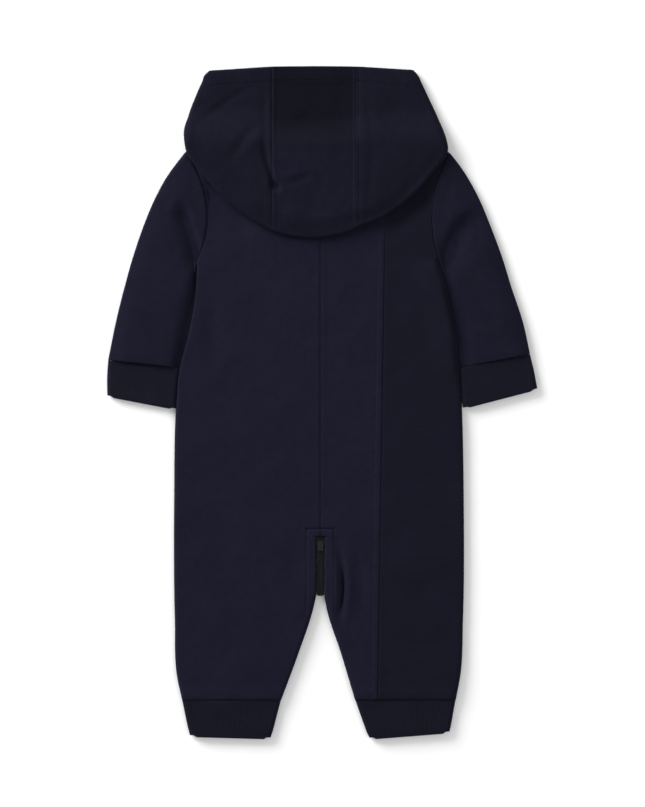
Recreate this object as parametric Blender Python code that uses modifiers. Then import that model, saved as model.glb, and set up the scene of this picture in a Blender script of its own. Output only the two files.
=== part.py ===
"""Baby hooded onesie in brushed fleece, laid flat on its front, the hood folded down over its back.

Each piece that is cut and sewn is one closed wall of cloth, kept a hair's breadth from its neighbours
along the seams. Tables and sizes are in millimetres. Seen from above, +X is to the right, +Y runs
towards the hood and +Z is up. The origin is the middle of the outline, on the surface it lies on.
"""
import math
from collections import namedtuple

import bmesh
import bpy
from mathutils import Vector

MM = 0.001

# ---- driving sizes ----
CLOTH = 2.0                  # fleece wall
RIB_CLOTH = 1.5              # rib knit wall of the cuffs
SEAM = 0.3                   # clear gap between two sewn pieces
BODY_HEIGHT = 7.0            # front and back lying on each other
SLEEVE_HEIGHT = 6.8
CUFF_HEIGHT = 5.6
HOOD_BASE = BODY_HEIGHT + SEAM
HOOD_TOP = 15.0              # top of the folded hood where it lies on the back
HOOD_SIDE_TOP = 7.6          # top of the hood beyond the shoulders
HOOD_MIDDLE_TOP = 6.4        # centre panel beyond the neck, where nothing lies under it
CENTRE_X = -1.4              # centre back seam and zip
SIDE_SEAM_TOP, SIDE_SEAM_FOOT = 57.7, 51.2         # x where the side panel's seam starts and ends
NECK_HALF = 56.4             # half the neck seam's width
SHOULDER_Y = 246.0           # side of the neck
BACK_NECK_DROP, BACK_NECK_POWER = 5.0, 2.0       # how far the neck seam hangs, and how round it is
FRONT_NECK_DROP, FRONT_NECK_POWER = 27.0, 1.5
NECK_COLUMNS = 4             # columns of the front, and of the hood, along half the front neck seam
ARMPIT_Y = 130.0
CROTCH_Y = -178.0
LEG_END_Y = -274.0
ROLL = BODY_HEIGHT / 2       # radius of the folded side edges
ROLL_STEPS = 2
SHARP_ANGLE = math.radians(50.0)
ARMHOLE_STEPS = 6            # rows along the armhole between its rounded ends
ARMHOLE_CROWDING = 1.15      # rows lie closer towards the armpit
NECK_BLEND = 3.0             # width over which the shoulder's fold ends at the neck seam

ZIP_GAP = 8.0                # between the folded edges beside the zip
ZIP_TOP_Y = -123.4           # top of the opening in the back
TAPE_WIDTH, TAPE_THICK = 7.4, 0.6
COIL_WIDTH, COIL_THICK = 5.6, 1.0
ZIP_TURN_STEPS = 6           # round the crotch
ZIP_DEPTH_BACK, ZIP_DEPTH_FRONT = 1.1, 2.0
ZIP_NOTCH = 0.4              # half the step between the open and the closed row of the back
STOP_WIDTH, STOP_LOW_Y, STOP_HIGH_Y = 5.6, -136.6, -127.4
STOP_EDGE = 0.25
SLIDER_LENGTH, SLIDER_WIDTH = 9.0, 7.0
SLIDER_BASE, SLIDER_HEAD = 2.2, 4.4
SLIDER_Y = 211.0             # the pull tab's axis
LOOP_BEHIND, LOOP_AHEAD = 4.0, 3.4                   # the slider's loop, from the axis
LOOP_WIDTH, LOOP_POST_WIDTH, LOOP_POST = 1.6, 1.4, 1.0
LOOP_LOW_Z, LOOP_HIGH_Z = 0.1, 0.6
LOOP_SINK = 0.05             # posts stop short of the loop's ends
LOOP_LAP = 0.3               # posts run into the loop and into the slider
PULL_Z = 1.4
PULL_LENGTH, PULL_WIDTH, PULL_THICK = 24.0, 5.0, 0.8
EYE_WIDTH, EYE_LENGTH, EYE_CUT = 2.4, 5.2, 4.0

RIB_PITCH = 2.2
RIB_RISE = 0.35
CUFF_TURN = [math.radians(angle) for angle in (45.0, 90.0, 135.0)]       # points round a cuff's side folds
CUFF_FLAT_COLUMNS = 6
CUFF_WAIST = 0.45            # how far down a leg cuff its middle ring lies
CUFF_SWELL = 0.6             # how far a sleeve cuff swells between its ends

# ---- outlines, read along the body ----
BodyRow = namedtuple("BodyRow", "y left right")
BODY = [
    BodyRow(130.0, -115.0, 108.0),
    BodyRow(100.0, -116.6, 113.8),
    BodyRow(60.0, -123.6, 122.6),
    BodyRow(30.0, -131.4, 127.1),
    BodyRow(0.0, -134.2, 128.7),
    BodyRow(-90.0, -136.2, 130.6),
    BodyRow(-200.0, -135.6, 129.9),
    BodyRow(-252.0, -133.6, 127.4),
    BodyRow(-274.0, -129.0, 123.2),
]
INSEAM = [
    BodyRow(-178.0, -5.4, 2.6),
    BodyRow(-190.0, -8.8, 4.9),
    BodyRow(-230.0, -22.4, 17.9),
    BodyRow(-274.0, -37.6, 30.4),
]

# the seam that sets a sleeve into the body, from the armpit to the tip of the shoulder
Armhole = namedtuple("Armhole", "pit_x tip_x tip_y bow")
ARMHOLE = {
    "left": Armhole(-115.0, -124.8, 231.6, 14.0),
    "right": Armhole(108.0, 116.6, 230.6, -10.5),
}

SleeveRow = namedtuple("SleeveRow", "y left right")
SLEEVE_OUTER = [
    SleeveRow(231.6, -125.4, 117.4),
    SleeveRow(208.4, -142.6, 133.4),
    SleeveRow(186.3, -154.6, 145.4),
    SleeveRow(164.2, -163.8, 154.6),
    SleeveRow(134.8, -173.9, 165.6),
    SleeveRow(105.3, -182.2, 174.8),
    SleeveRow(75.9, -189.5, 184.6),
    SleeveRow(39.0, -197.0, 192.8),
]
SleeveEnd = namedtuple("SleeveEnd", "outer_y inner_y cuff_outer_x cuff_outer_y cuff_inner_x cuff_inner_y")
SLEEVE_END = {
    "left": SleeveEnd(39.0, 32.0, -197.8, 5.2, -134.6, -6.9),
    "right": SleeveEnd(44.6, 32.0, 198.4, 11.6, 130.0, -6.2),
}
SLEEVE_ROWS = 10
SLEEVE_CROWDING = 1.3        # rows lie closer towards the armhole
SLEEVE_TUCK = 0.8            # between the sleeve's inner fold and the body's side fold
SLEEVE_SETTLE = 0.125        # share of the sleeve over which it comes down from the body's height
OUTLINE_REACH = 3.0          # distance each way over which a fold line's lean is read
FOLD_LEAN = 2.0              # how much of the sleeve's fold lines turn to the ring's own line
PIT_LEAN = 6.0               # how soon the ring at the armpit leaves the armhole's line
PIT_TUCK = 0.6               # share of a tuck that the inner face keeps at the armpit

LegCuff = namedtuple("LegCuff", "top_left top_right foot_left foot_right foot_y_left foot_y_right ribs")
LEG_CUFF = {
    "left": LegCuff(-128.8, -37.8, -121.8, -47.2, -308.0, -310.2, 36),
    "right": LegCuff(30.6, 123.0, 43.4, 117.6, -310.4, -304.6, 36),
}

# the folded hood: its outer fold, where each row meets the panel seam, t = 1 at the shoulder line
HoodRow = namedtuple("HoodRow", "t fold_x fold_y seam_y")
HOOD = {
    "left": [
        HoodRow(0.00, -103.8, 305.5, 309.2),
        HoodRow(0.03, -107.3, 302.4, 307.3),
        HoodRow(0.12, -110.0, 296.4, 301.5),
        HoodRow(0.40, -116.4, 282.0, 284.0),
        HoodRow(0.70, -123.0, 264.0, 264.0),
        HoodRow(0.90, -127.2, 246.5, 249.0),
        HoodRow(1.00, -125.4, 233.0, 238.0),
        HoodRow(1.25, -111.0, 211.4, 221.0),
        HoodRow(1.50, -90.0, 187.8, 202.0),
        HoodRow(1.75, -66.5, 169.0, 184.0),
        HoodRow(2.00, -46.0, 157.6, 168.0),
    ],
    "right": [
        HoodRow(0.00, 84.4, 306.1, 309.2),
        HoodRow(0.03, 87.9, 302.0, 307.3),
        HoodRow(0.12, 91.4, 295.0, 301.5),
        HoodRow(0.40, 98.4, 280.2, 284.0),
        HoodRow(0.70, 107.0, 261.5, 264.0),
        HoodRow(0.90, 114.4, 242.5, 249.0),
        HoodRow(1.00, 115.9, 233.0, 238.0),
        HoodRow(1.25, 104.5, 213.8, 221.0),
        HoodRow(1.50, 83.0, 189.6, 202.0),
        HoodRow(1.75, 58.5, 171.6, 184.0),
        HoodRow(2.00, 34.0, 160.8, 168.0),
    ],
}
HOOD_SEAM_X = {"left": -46.0, "right": 34.0}
HOOD_BOTTOM_BOW = 7.9        # the centre panel's fold hangs this far below its seams
HOOD_NECK_SEAM_X = {"left": -41.0, "right": 31.0}
FACE_BOW = 6.0               # how far the edge of the face opening, underneath, bows towards the hem
FACE_FLOOR_ROWS, FACE_BACK_ROWS = 8, 8
FACE_CROWDING, BACK_CROWDING = 1.5, 1.3      # rows lie closer towards the shoulder line
FACE_CORNER_IN, FACE_CORNER_DOWN = 12.0, 1.0         # the lower cloth's corner, from the upper cloth's
HOOD_COLUMNS, HOOD_ARC, HOOD_UNDER = 7, 5, 4
CENTRE_COLUMNS = 8
CENTRE_HEM_BOW = 0.5
NECK_LAP = 0.6               # the lower cloth ends this far inside the neck seam
SETTLE_SHARE = 0.14          # share of t over which the lower cloth comes down beyond the shoulder
GATE_OUT = 7.0               # from the neck's side to where the lower cloth starts down to the front neck
GATE_STEP = (1.0, 3.0, 1.2)  # next point: out from the neck's side, up from the shoulder, height

# how the hood comes down from the back, its side panels at one place and its centre panel at another
HoodDrop = namedtuple("HoodDrop", "start span low clear")
SIDE_DROP = HoodDrop(226.0, 40.0, HOOD_SIDE_TOP, 8.0)
MIDDLE_DROP = HoodDrop(234.0, 26.0, HOOD_MIDDLE_TOP, 1.5)
MIDDLE_X, MIDDLE_HALF, MIDDLE_BLEND = -6.0, 34.0, 10.0
CLEAR_SPAN = 9.0             # distance beyond the shoulder over which the lower cloth reaches the surface

# troughs pressed into the cloth: the line each one follows, half its width and its depth
Fold = namedtuple("Fold", "line half_width depth")
BODY_FOLDS = [
    Fold([(12, -117), (18, -147), (18, -180), (13, -212)], 6.5, 2.3),
    Fold([(33, -136), (35, -200)], 9.0, 1.0),
    Fold([(-101, 92), (-101, 28)], 11.0, 1.2),
]
SLEEVE_FOLDS = {
    "left": [Fold([(-140, 180), (-126, 162), (-121, 148), (-122, 110), (-129, 70), (-136, 42)], 9.0, 2.4)],
    "right": [
        Fold([(129, 171), (118, 154), (113, 140), (119, 110), (127, 75), (133, 44)], 9.0, 2.4),
        Fold([(134, 178), (141, 150), (141, 134)], 8.0, 1.0),
    ],
}
HOOD_FOLDS = [
    Fold([(-60, 293), (-77, 283), (-112, 262)], 8.0, 1.2),
    Fold([(-59, 253), (-77, 231)], 9.0, 1.5),
    Fold([(-55, 240), (-45, 198), (-14, 210)], 8.0, 1.6),
    Fold([(44, 262), (48, 214), (42, 192)], 8.0, 1.5),
]


# ---------------------------------------------------------------- small maths

def lerp(start, end, part):
    return start + (end - start) * part


def ease(value):
    value = min(max(value, 0.0), 1.0)
    return value * value * (3.0 - 2.0 * value)


def read(rows, key, column, at):
    """One column of a table at any place between its rows, smooth through each row."""
    rows = sorted(rows, key=lambda row: getattr(row, key))
    keys = [getattr(row, key) for row in rows]
    values = [getattr(row, column) for row in rows]
    at = min(max(at, keys[0]), keys[-1])
    i = max(k for k in range(len(keys) - 1) if keys[k] <= at)
    steps = [(values[k + 1] - values[k]) / (keys[k + 1] - keys[k]) for k in range(len(keys) - 1)]

    def slope(k):
        if k == 0 or k == len(keys) - 1:
            return steps[min(k, len(steps) - 1)]
        before, after = keys[k] - keys[k - 1], keys[k + 1] - keys[k]
        return (after * steps[k - 1] + before * steps[k]) / (before + after)

    span = keys[i + 1] - keys[i]
    part = (at - keys[i]) / span
    bend = part * (1.0 - part) * span
    start_pull = (slope(i) - steps[i]) * (1.0 - part)
    end_pull = (steps[i] - slope(i + 1)) * part
    return lerp(values[i], values[i + 1], part) + bend * (start_pull + end_pull)


def trough(folds, x, y):
    """How far the cloth is pressed down at a place by the folds near it."""
    deepest = 0.0
    spot = Vector((x, y))
    for fold in folds:
        for k in range(len(fold.line) - 1):
            start, end = Vector(fold.line[k]), Vector(fold.line[k + 1])
            along = end - start
            part = min(max((spot - start).dot(along) / along.length_squared, 0.0), 1.0)
            distance = (spot - start - along * part).length / fold.half_width
            if distance < 1.0:
                deepest = max(deepest, fold.depth * (1.0 - ease(distance)))
    return deepest


# ---------------------------------------------------------------- building walls

def cloth_material(name, colour, roughness, metallic=0.0):
    material = bpy.data.materials.get(name) or bpy.data.materials.new(name)
    material.use_nodes = True
    shader = material.node_tree.nodes["Principled BSDF"]
    shader.inputs["Base Color"].default_value = (*colour, 1.0)
    shader.inputs["Roughness"].default_value = roughness
    shader.inputs["Metallic"].default_value = metallic
    material.diffuse_color = (*colour, 1.0)
    return material


FLEECE = cloth_material("navy_fleece", (0.0130, 0.0123, 0.0262), 0.95)
SIDE_KNIT = cloth_material("navy_side_knit", (0.0103, 0.0103, 0.0187), 0.9)
RIB_KNIT = cloth_material("navy_rib_knit", (0.0103, 0.0103, 0.0180), 0.9)
ZIP_PLASTIC = cloth_material("zip_charcoal", (0.0137, 0.0137, 0.0144), 0.6)
ZIP_METAL = cloth_material("zip_dark_metal", (0.06, 0.06, 0.065), 0.35, 1.0)


def add_object(name, mesh, material):
    piece = bpy.data.objects.new(name, mesh)
    mesh.materials.append(material)
    garment.objects.link(piece)
    return piece


def wall(name, patches_at, material, thickness=CLOTH, closed=False):
    """A cloth wall: patches_at(depth) gives rows of points at a depth below the outer face.

    Outer and inner faces have the same quads, points that meet are one, and every open edge gets a rim.
    closed joins the last column of a row to the first.
    """
    index, outer, inner, quads = {}, [], [], []
    for outer_rows, inner_rows in zip(patches_at(0.0), patches_at(thickness)):
        rings = []
        for outer_row, inner_row in zip(outer_rows, inner_rows):
            ring = []
            for outer_point, inner_point in zip(outer_row, inner_row):
                key = tuple(round(value, 3) for value in outer_point)
                if key not in index:
                    index[key] = len(outer)
                    outer.append(Vector(outer_point) * MM)
                    inner.append(Vector(inner_point) * MM)
                ring.append(index[key])
            rings.append(ring)
        for lower, upper in zip(rings, rings[1:]):
            for j in range(len(lower) if closed else len(lower) - 1):
                k = (j + 1) % len(lower)
                quads.append((lower[j], lower[k], upper[k], upper[j]))
    count = len(outer)
    edges = {(quad[i], quad[(i + 1) % 4]) for quad in quads for i in range(4)}
    rims = [(b, a, a + count, b + count) for a, b in sorted(edges) if (b, a) not in edges]
    backs = [tuple(corner + count for corner in reversed(quad)) for quad in quads]
    mesh = bpy.data.meshes.new(name)
    mesh.from_pydata(outer + inner, [], quads + backs + rims)
    mesh.update()
    mesh.shade_smooth()
    mesh.set_sharp_from_angle(angle=SHARP_ANGLE)
    return add_object(name, mesh, material)


def roll_spots(radius, steps=ROLL_STEPS):
    """(distance in from a folded edge, share of the fall left there) round a quarter circle."""
    angles = [math.pi / 2 * k / steps for k in range(steps)]
    return [(radius * (1.0 - math.cos(a)), 1.0 - math.sin(a)) for a in angles]


def tuck_in(roll, fall, depth):
    """How much further in a point of the inner face lies where an edge is folded over."""
    angle = math.asin(1.0 - fall)
    return roll * depth * math.cos(angle)


# ---------------------------------------------------------------- body

def armhole_stations():
    """Shares of the way up the armhole where the body and the sleeve both have points."""
    length = ARMHOLE["left"].tip_y - ARMPIT_Y
    near = [distance / length for distance, _ in roll_spots(ROLL)]
    first, last = ROLL / length, 1.0 - ROLL / length
    middle = [lerp(first, last, (k / ARMHOLE_STEPS) ** ARMHOLE_CROWDING) for k in range(ARMHOLE_STEPS + 1)]
    return near + middle + [1.0 - share for share in reversed(near)]


def armhole_point(side, share):
    hole = ARMHOLE[side]
    x = lerp(hole.pit_x, hole.tip_x, share) + 4.0 * hole.bow * share * (1.0 - share)
    return x, lerp(ARMPIT_Y, hole.tip_y, share)


def top_line(x, neck_drop, neck_power):
    """The body's top edge: the shoulder lines and the neck seam between them."""
    out = abs(x - CENTRE_X) / NECK_HALF
    if out <= 1.0:
        return SHOULDER_Y - neck_drop * (1.0 - out ** neck_power)
    side = "left" if x < CENTRE_X else "right"
    tip = ARMHOLE[side]
    reach = abs(tip.tip_x - CENTRE_X) - NECK_HALF
    return lerp(SHOULDER_Y, tip.tip_y, (abs(x - CENTRE_X) - NECK_HALF) / reach)


def back_top(x):
    return top_line(x, BACK_NECK_DROP, BACK_NECK_POWER)


def front_top(x):
    return top_line(x, FRONT_NECK_DROP, FRONT_NECK_POWER)


Edge = namedtuple("Edge", "x roll")
Station = namedtuple("Station", "y share fall")


def body_stations(leg_rows, zip_rows, torso_rows, zip_notch):
    """Rows of a body panel from the ankle to the shoulder: a y below the armpit, a share above it."""
    stations = [Station(lerp(LEG_END_Y, CROTCH_Y, k / leg_rows), 0.0, 0.0) for k in range(leg_rows + 1)]
    stations += [Station(CROTCH_Y + distance, 0.0, 0.0) for distance, _ in roll_spots(ROLL)[1:]]
    start, open_y, closed_y = CROTCH_Y + ROLL, ZIP_TOP_Y - ZIP_NOTCH, ZIP_TOP_Y + ZIP_NOTCH
    stations += [Station(lerp(start, open_y, k / zip_rows), 0.0, 0.0) for k in range(zip_rows + 1)]
    if zip_notch:
        stations.append(Station(closed_y, 0.0, 0.0))
    torso = [lerp(closed_y, ARMPIT_Y, k / torso_rows) for k in range(1, torso_rows)]
    stations += [Station(y, 0.0, 0.0) for y in torso]
    shares = armhole_stations()
    falls = [fall for _, fall in roll_spots(ROLL)]
    ends = len(falls)
    for k, share in enumerate(shares):
        top = falls[len(shares) - 1 - k] if len(shares) - 1 - k < ends else 0.0
        stations.append(Station(None, share, top))
    return stations


def fade_above(start, y):
    """Fall of a folded edge that ends at a seam: a quarter circle, gone one radius past the start."""
    distance = min(max(y - start, 0.0), ROLL) / ROLL
    return 1.0 - math.sqrt(1.0 - (1.0 - distance) ** 2)


def outer_edge(side, station):
    inwards = SEAM / 2 if side == "left" else -SEAM / 2
    if station.y is None:
        x, y = armhole_point(side, station.share)
        return Edge(x + inwards, fade_above(ARMPIT_Y, y))
    return Edge(read(BODY, "y", side, station.y) + inwards, 1.0)


def middle_edge(side, station, zip_opening):
    """The inner leg, then the edge beside the zip, then the centre seam."""
    outwards = -1.0 if side == "left" else 1.0
    y = station.y if station.y is not None else ARMPIT_Y
    if y <= CROTCH_Y:
        return Edge(read(INSEAM, "y", side, y), 1.0)
    if zip_opening(y):
        return Edge(CENTRE_X + outwards * ZIP_GAP / 2, fade_above(CROTCH_Y, y))
    return Edge(CENTRE_X + outwards * SEAM / 2, 0.0)


def side_seam_edge(side, station):
    """The seam between the right back and the side panel; side says which piece it bounds."""
    share = 0.0 if station.y is None else (ARMPIT_Y - station.y) / (ARMPIT_Y - LEG_END_Y)
    middle = lerp(SIDE_SEAM_TOP, SIDE_SEAM_FOOT, share)
    return Edge(middle + (SEAM / 2 if side == "right" else -SEAM / 2), 0.0)


def panel_row(station, left, right, breaks, top_of, rolls, depth):
    """One row of a body panel as (x, y, share of the fall to mid height)."""
    spots = []
    inner_left, inner_right = left.x, right.x
    if rolls[0]:
        for distance, fall in roll_spots(ROLL):
            spots.append((left.x + distance + tuck_in(left.roll, fall, depth), fall * left.roll))
        inner_left += ROLL
    if rolls[1]:
        inner_right -= ROLL
    marks = [inner_left] + [x for x, _ in breaks[:-1]] + [inner_right]
    for start, end, (_, count) in zip(marks, marks[1:], breaks):
        spots += [(lerp(start, end, k / count), 0.0) for k in range(count)]
    spots.append((inner_right, 0.0))
    if rolls[1]:
        for distance, fall in reversed(roll_spots(ROLL)):
            spots.append((right.x - distance - tuck_in(right.roll, fall, depth), fall * right.roll))
    row = []
    for x, fall in spots:
        y = station.y
        if y is None:
            y = lerp(ARMPIT_Y, top_of(x), station.share)
        beyond_neck = ease((abs(x - CENTRE_X) - NECK_HALF) / NECK_BLEND + 1.0)
        if station.fall:
            y -= tuck_in(beyond_neck, station.fall, depth)
        row.append((x, y, max(fall, station.fall * beyond_neck)))
    return row


def body_panel(name, stations, left_edge, right_edge, breaks, on_top, material, rolls):
    """A front or back panel. breaks gives the columns up to each named place across it."""
    top_of = back_top if on_top else front_top

    def patches_at(depth):
        reach = ROLL - SEAM / 2 - depth
        rows = []
        for station in stations:
            row = panel_row(station, left_edge(station), right_edge(station), breaks, top_of, rolls, depth)
            if on_top:
                sinks = [(1.0 - fall) * trough(BODY_FOLDS, x, y) for x, y, fall in row]
                tops = [BODY_HEIGHT - depth - fall * reach - sink for (_, _, fall), sink in zip(row, sinks)]
                rows.append([(x, y, top) for (x, y, _), top in zip(row, tops)])
            else:
                rows.append([(x, y, depth + fall * reach) for x, y, fall in reversed(row)])
        return [rows]

    return wall(name, patches_at, material)


def in_zip_opening(y):
    return y < ZIP_TOP_Y


def always(_):
    return True


def build_body():
    back_rows = body_stations(7, 3, 11, True)
    front_rows = body_stations(4, 1, 6, False)
    neck_left, neck_right = CENTRE_X - NECK_HALF, CENTRE_X + NECK_HALF
    body_panel("back_left", back_rows, lambda s: outer_edge("left", s),
               lambda s: middle_edge("left", s, in_zip_opening),
               [(neck_left, 5), (None, 4)], True, FLEECE, (True, True))
    body_panel("back_right", back_rows, lambda s: middle_edge("right", s, in_zip_opening),
               lambda s: side_seam_edge("left", s), [(None, 8)], True, FLEECE, (True, False))
    body_panel("back_side", back_rows, lambda s: side_seam_edge("right", s),
               lambda s: outer_edge("right", s), [(None, 5)], True, SIDE_KNIT, (False, True))
    body_panel("front_left", front_rows, lambda s: outer_edge("left", s),
               lambda s: middle_edge("left", s, always),
               [(neck_left, 3), (None, NECK_COLUMNS)], False, FLEECE, (True, False))
    body_panel("front_right", front_rows, lambda s: middle_edge("right", s, always),
               lambda s: outer_edge("right", s),
               [(neck_right, NECK_COLUMNS), (None, 3)], False, FLEECE, (False, True))


# ---------------------------------------------------------------- sleeves and cuffs

def sleeve_ends(side, part):
    """The inner and outer ends of one ring, and the way in from each fold to the sleeve's middle."""
    end = SLEEVE_END[side]
    outwards = -1.0 if side == "left" else 1.0
    outer_y = lerp(ARMHOLE[side].tip_y, end.outer_y, part)
    inner_y = lerp(ARMPIT_Y, end.inner_y, part)
    outer = Vector((read(SLEEVE_OUTER, "y", side, outer_y), outer_y))
    inner = Vector((read(BODY, "y", side, inner_y) + outwards * SLEEVE_TUCK, inner_y))
    lower_x = read(SLEEVE_OUTER, "y", side, outer_y - OUTLINE_REACH)
    upper_x = read(SLEEVE_OUTER, "y", side, outer_y + OUTLINE_REACH)
    outer_way = Vector((-outwards * 2.0 * OUTLINE_REACH, outwards * (upper_x - lower_x))).normalized()
    across = (outer - inner).normalized()
    square, pit = part ** FOLD_LEAN, (1.0 - part) ** PIT_LEAN
    inner_way = Vector((outwards, 0.0)).lerp(across, square).lerp(Vector((0.0, 1.0)), pit)
    return inner, outer, inner_way.normalized(), outer_way.lerp(-across, square).normalized()


def sleeve_ring(side, part, depth):
    """One ring of the sleeve: over its top from the inner fold to the outer one, and back under."""
    outwards = -1.0 if side == "left" else 1.0
    inner, outer, inner_way, outer_way = sleeve_ends(side, part)
    start, finish = inner + inner_way * ROLL, outer + outer_way * ROLL
    bow = ARMHOLE[side].bow * (1.0 - part) ** 2
    height = lerp(BODY_HEIGHT, SLEEVE_HEIGHT, min(part / SLEEVE_SETTLE, 1.0))
    radius = height / 2
    shares = armhole_stations()
    spots = roll_spots(ROLL)
    first, last = shares[len(spots)], shares[-1 - len(spots)]
    upper, lower = [], []
    for k, share in enumerate(shares):
        edge = min(k, len(shares) - 1 - k)
        distance, fall = spots[edge] if edge < len(spots) else (ROLL, 0.0)
        near_inner = k < len(shares) / 2
        tuck = tuck_in(1.0, fall, depth) if fall else 0.0
        if part == 0.0:
            hole_x, hole_y = armhole_point(side, share)
            spot = Vector((hole_x + outwards * SEAM / 2, hole_y))
            spot.y += tuck * (PIT_TUCK if near_inner else -1.0)
        elif fall and near_inner:
            spot = inner + inner_way * (distance + tuck)
        elif fall:
            spot = outer + outer_way * (distance + tuck)
        else:
            across = (share - first) / (last - first)
            spot = start.lerp(finish, across)
            spot.x += 4.0 * bow * across * (1.0 - across)
        sink = trough(SLEEVE_FOLDS[side], spot.x, spot.y) * (1.0 - fall)
        upper.append((spot.x, spot.y, height - depth - fall * (radius - depth) - sink))
        lower.append((spot.x, spot.y, depth + fall * (radius - depth)))
    ring = upper + lower[-2:0:-1]
    return ring if side == "right" else ring[::-1]


def build_sleeve(side):
    def patches_at(depth):
        parts = [(k / SLEEVE_ROWS) ** SLEEVE_CROWDING for k in range(SLEEVE_ROWS + 1)]
        rings = [sleeve_ring(side, part, depth) for part in parts]
        return [rings[::-1]]

    wall("sleeve_" + side, patches_at, FLEECE, closed=True)


def cuff_ring(left, right, ribs, depth):
    """A flattened ring between two points at a depth below the outer face, ribbed above, plain below."""
    left, right = Vector(left), Vector(right)
    across = (right - left).normalized()
    radius = CUFF_HEIGHT / 2
    inner_radius = radius - depth
    start, end = left + across * radius, right - across * radius
    ring = []
    for k in range(ribs * 2 + 1):
        spot = start.lerp(end, k / (ribs * 2))
        hollow = RIB_RISE if depth == 0.0 and k % 2 == 0 else 0.0
        ring.append((spot.x, spot.y, CUFF_HEIGHT - depth - hollow))
    for angle in CUFF_TURN:
        spot = end + across * inner_radius * math.sin(angle)
        ring.append((spot.x, spot.y, radius + inner_radius * math.cos(angle)))
    for k in range(CUFF_FLAT_COLUMNS + 1):
        spot = end.lerp(start, k / CUFF_FLAT_COLUMNS)
        ring.append((spot.x, spot.y, depth))
    for angle in CUFF_TURN:
        spot = start - across * inner_radius * math.sin(angle)
        ring.append((spot.x, spot.y, radius - inner_radius * math.cos(angle)))
    return ring


def ribbed_cuff(name, spans, ribs):
    """A rib tube: ribs stand up in the outer points over a plain inside. spans are (left, right)."""
    def patches_at(depth):
        return [[cuff_ring(left, right, ribs, depth) for left, right in reversed(spans)]]

    wall(name, patches_at, RIB_KNIT, RIB_CLOTH, closed=True)


def build_sleeve_cuff(side):
    end = SLEEVE_END[side]
    outwards = -1.0 if side == "left" else 1.0
    outer_x = read(SLEEVE_OUTER, "y", side, end.outer_y)
    inner_x = read(BODY, "y", side, end.inner_y) + outwards * SLEEVE_TUCK
    top_outer = Vector((outer_x, end.outer_y - SEAM))
    top_inner = Vector((inner_x, end.inner_y - SEAM))
    foot_outer = Vector((end.cuff_outer_x, end.cuff_outer_y))
    foot_inner = Vector((end.cuff_inner_x + outwards * SLEEVE_TUCK, end.cuff_inner_y))
    middle_outer = top_outer.lerp(foot_outer, 0.5) + Vector((outwards * CUFF_SWELL, 0.0))
    inner_y = lerp(top_inner.y, foot_inner.y, 0.5)
    middle_inner = Vector((read(BODY, "y", side, inner_y) + outwards * SLEEVE_TUCK, inner_y))
    ribs = round((top_outer - top_inner).length / RIB_PITCH)
    spans = [(top_outer, top_inner), (middle_outer, middle_inner), (foot_outer, foot_inner)]
    if side == "right":
        spans = [(inner, outer) for outer, inner in spans]
    ribbed_cuff("sleeve_cuff_" + side, spans, ribs)


def build_leg_cuff(side):
    cuff = LEG_CUFF[side]
    top_y = LEG_END_Y - SEAM
    spans = []
    for part in (0.0, CUFF_WAIST, 1.0):
        left = (lerp(cuff.top_left, cuff.foot_left, part), lerp(top_y, cuff.foot_y_left, part))
        right = (lerp(cuff.top_right, cuff.foot_right, part), lerp(top_y, cuff.foot_y_right, part))
        spans.append((left, right))
    ribbed_cuff("leg_cuff_" + side, spans, cuff.ribs)


# ---------------------------------------------------------------- hood

def hood_top(x, y):
    """Height of the hood's upper cloth: over the back it lies on the body, beyond the neck it sinks."""
    middle = 1.0 - ease((abs(x - MIDDLE_X) - MIDDLE_HALF) / MIDDLE_BLEND)
    start, span, low, clear = (lerp(side, centre, middle) for side, centre in zip(SIDE_DROP, MIDDLE_DROP))
    height = lerp(HOOD_TOP, low, ease((y - start) / span))
    lying_under = lerp(HOOD_BASE + CLOTH, CLOTH, ease((y - back_top(x) - clear) / CLEAR_SPAN))
    return max(height - trough(HOOD_FOLDS, x, y), lying_under + CLOTH + SEAM)


def hood_stations():
    """Rows of a hood side panel: t runs 0 to 1 down to the shoulder line and 1 to 2 round the bottom."""
    before = [1.0 - (1.0 - k / FACE_FLOOR_ROWS) ** FACE_CROWDING for k in range(FACE_FLOOR_ROWS + 1)]
    before.insert(1, HOOD["left"][1].t)
    after = [1.0 + (k / FACE_BACK_ROWS) ** BACK_CROWDING for k in range(1, FACE_BACK_ROWS + 1)]
    return before + after


def shoulder_row(side):
    """The line where the hood crosses the shoulder and then follows the front neck seam."""
    outwards = -1.0 if side == "left" else 1.0
    edge = read(HOOD[side], "t", "fold_x", 1.0) - outwards * HOOD_TOP / 4
    gate = CENTRE_X + outwards * (NECK_HALF + GATE_OUT)
    points = []
    for k in range(HOOD_UNDER + 1):
        x = lerp(edge, gate, k / HOOD_UNDER)
        points.append((x, back_top(x) + NECK_LAP, HOOD_BASE))
    step_out, step_up, step_height = GATE_STEP
    points.append((CENTRE_X + outwards * (NECK_HALF + step_out), SHOULDER_Y + step_up, step_height))
    for k in range(1, NECK_COLUMNS + 1):
        x = lerp(CENTRE_X + outwards * NECK_HALF, CENTRE_X + outwards * ZIP_GAP / 2, k / NECK_COLUMNS)
        points.append((x, front_top(x) + SEAM, 0.0))
    x = CENTRE_X + outwards * SEAM / 2
    points.append((x, front_top(x) + SEAM, 0.0))
    return points


def face_point(side, t):
    """A point of the face opening's edge under the hood, from its corner down to the front neck."""
    outwards = -1.0 if side == "left" else 1.0
    tip = HOOD[side][0]
    corner = Vector((tip.fold_x - outwards * FACE_CORNER_IN, tip.fold_y - FACE_CORNER_DOWN))
    neck = Vector(shoulder_row(side)[-1][:2])
    bow = 4.0 * FACE_BOW * t * (1.0 - t)
    return corner.lerp(neck, t) + bow * Vector((-0.6 * outwards, 0.8))


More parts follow.
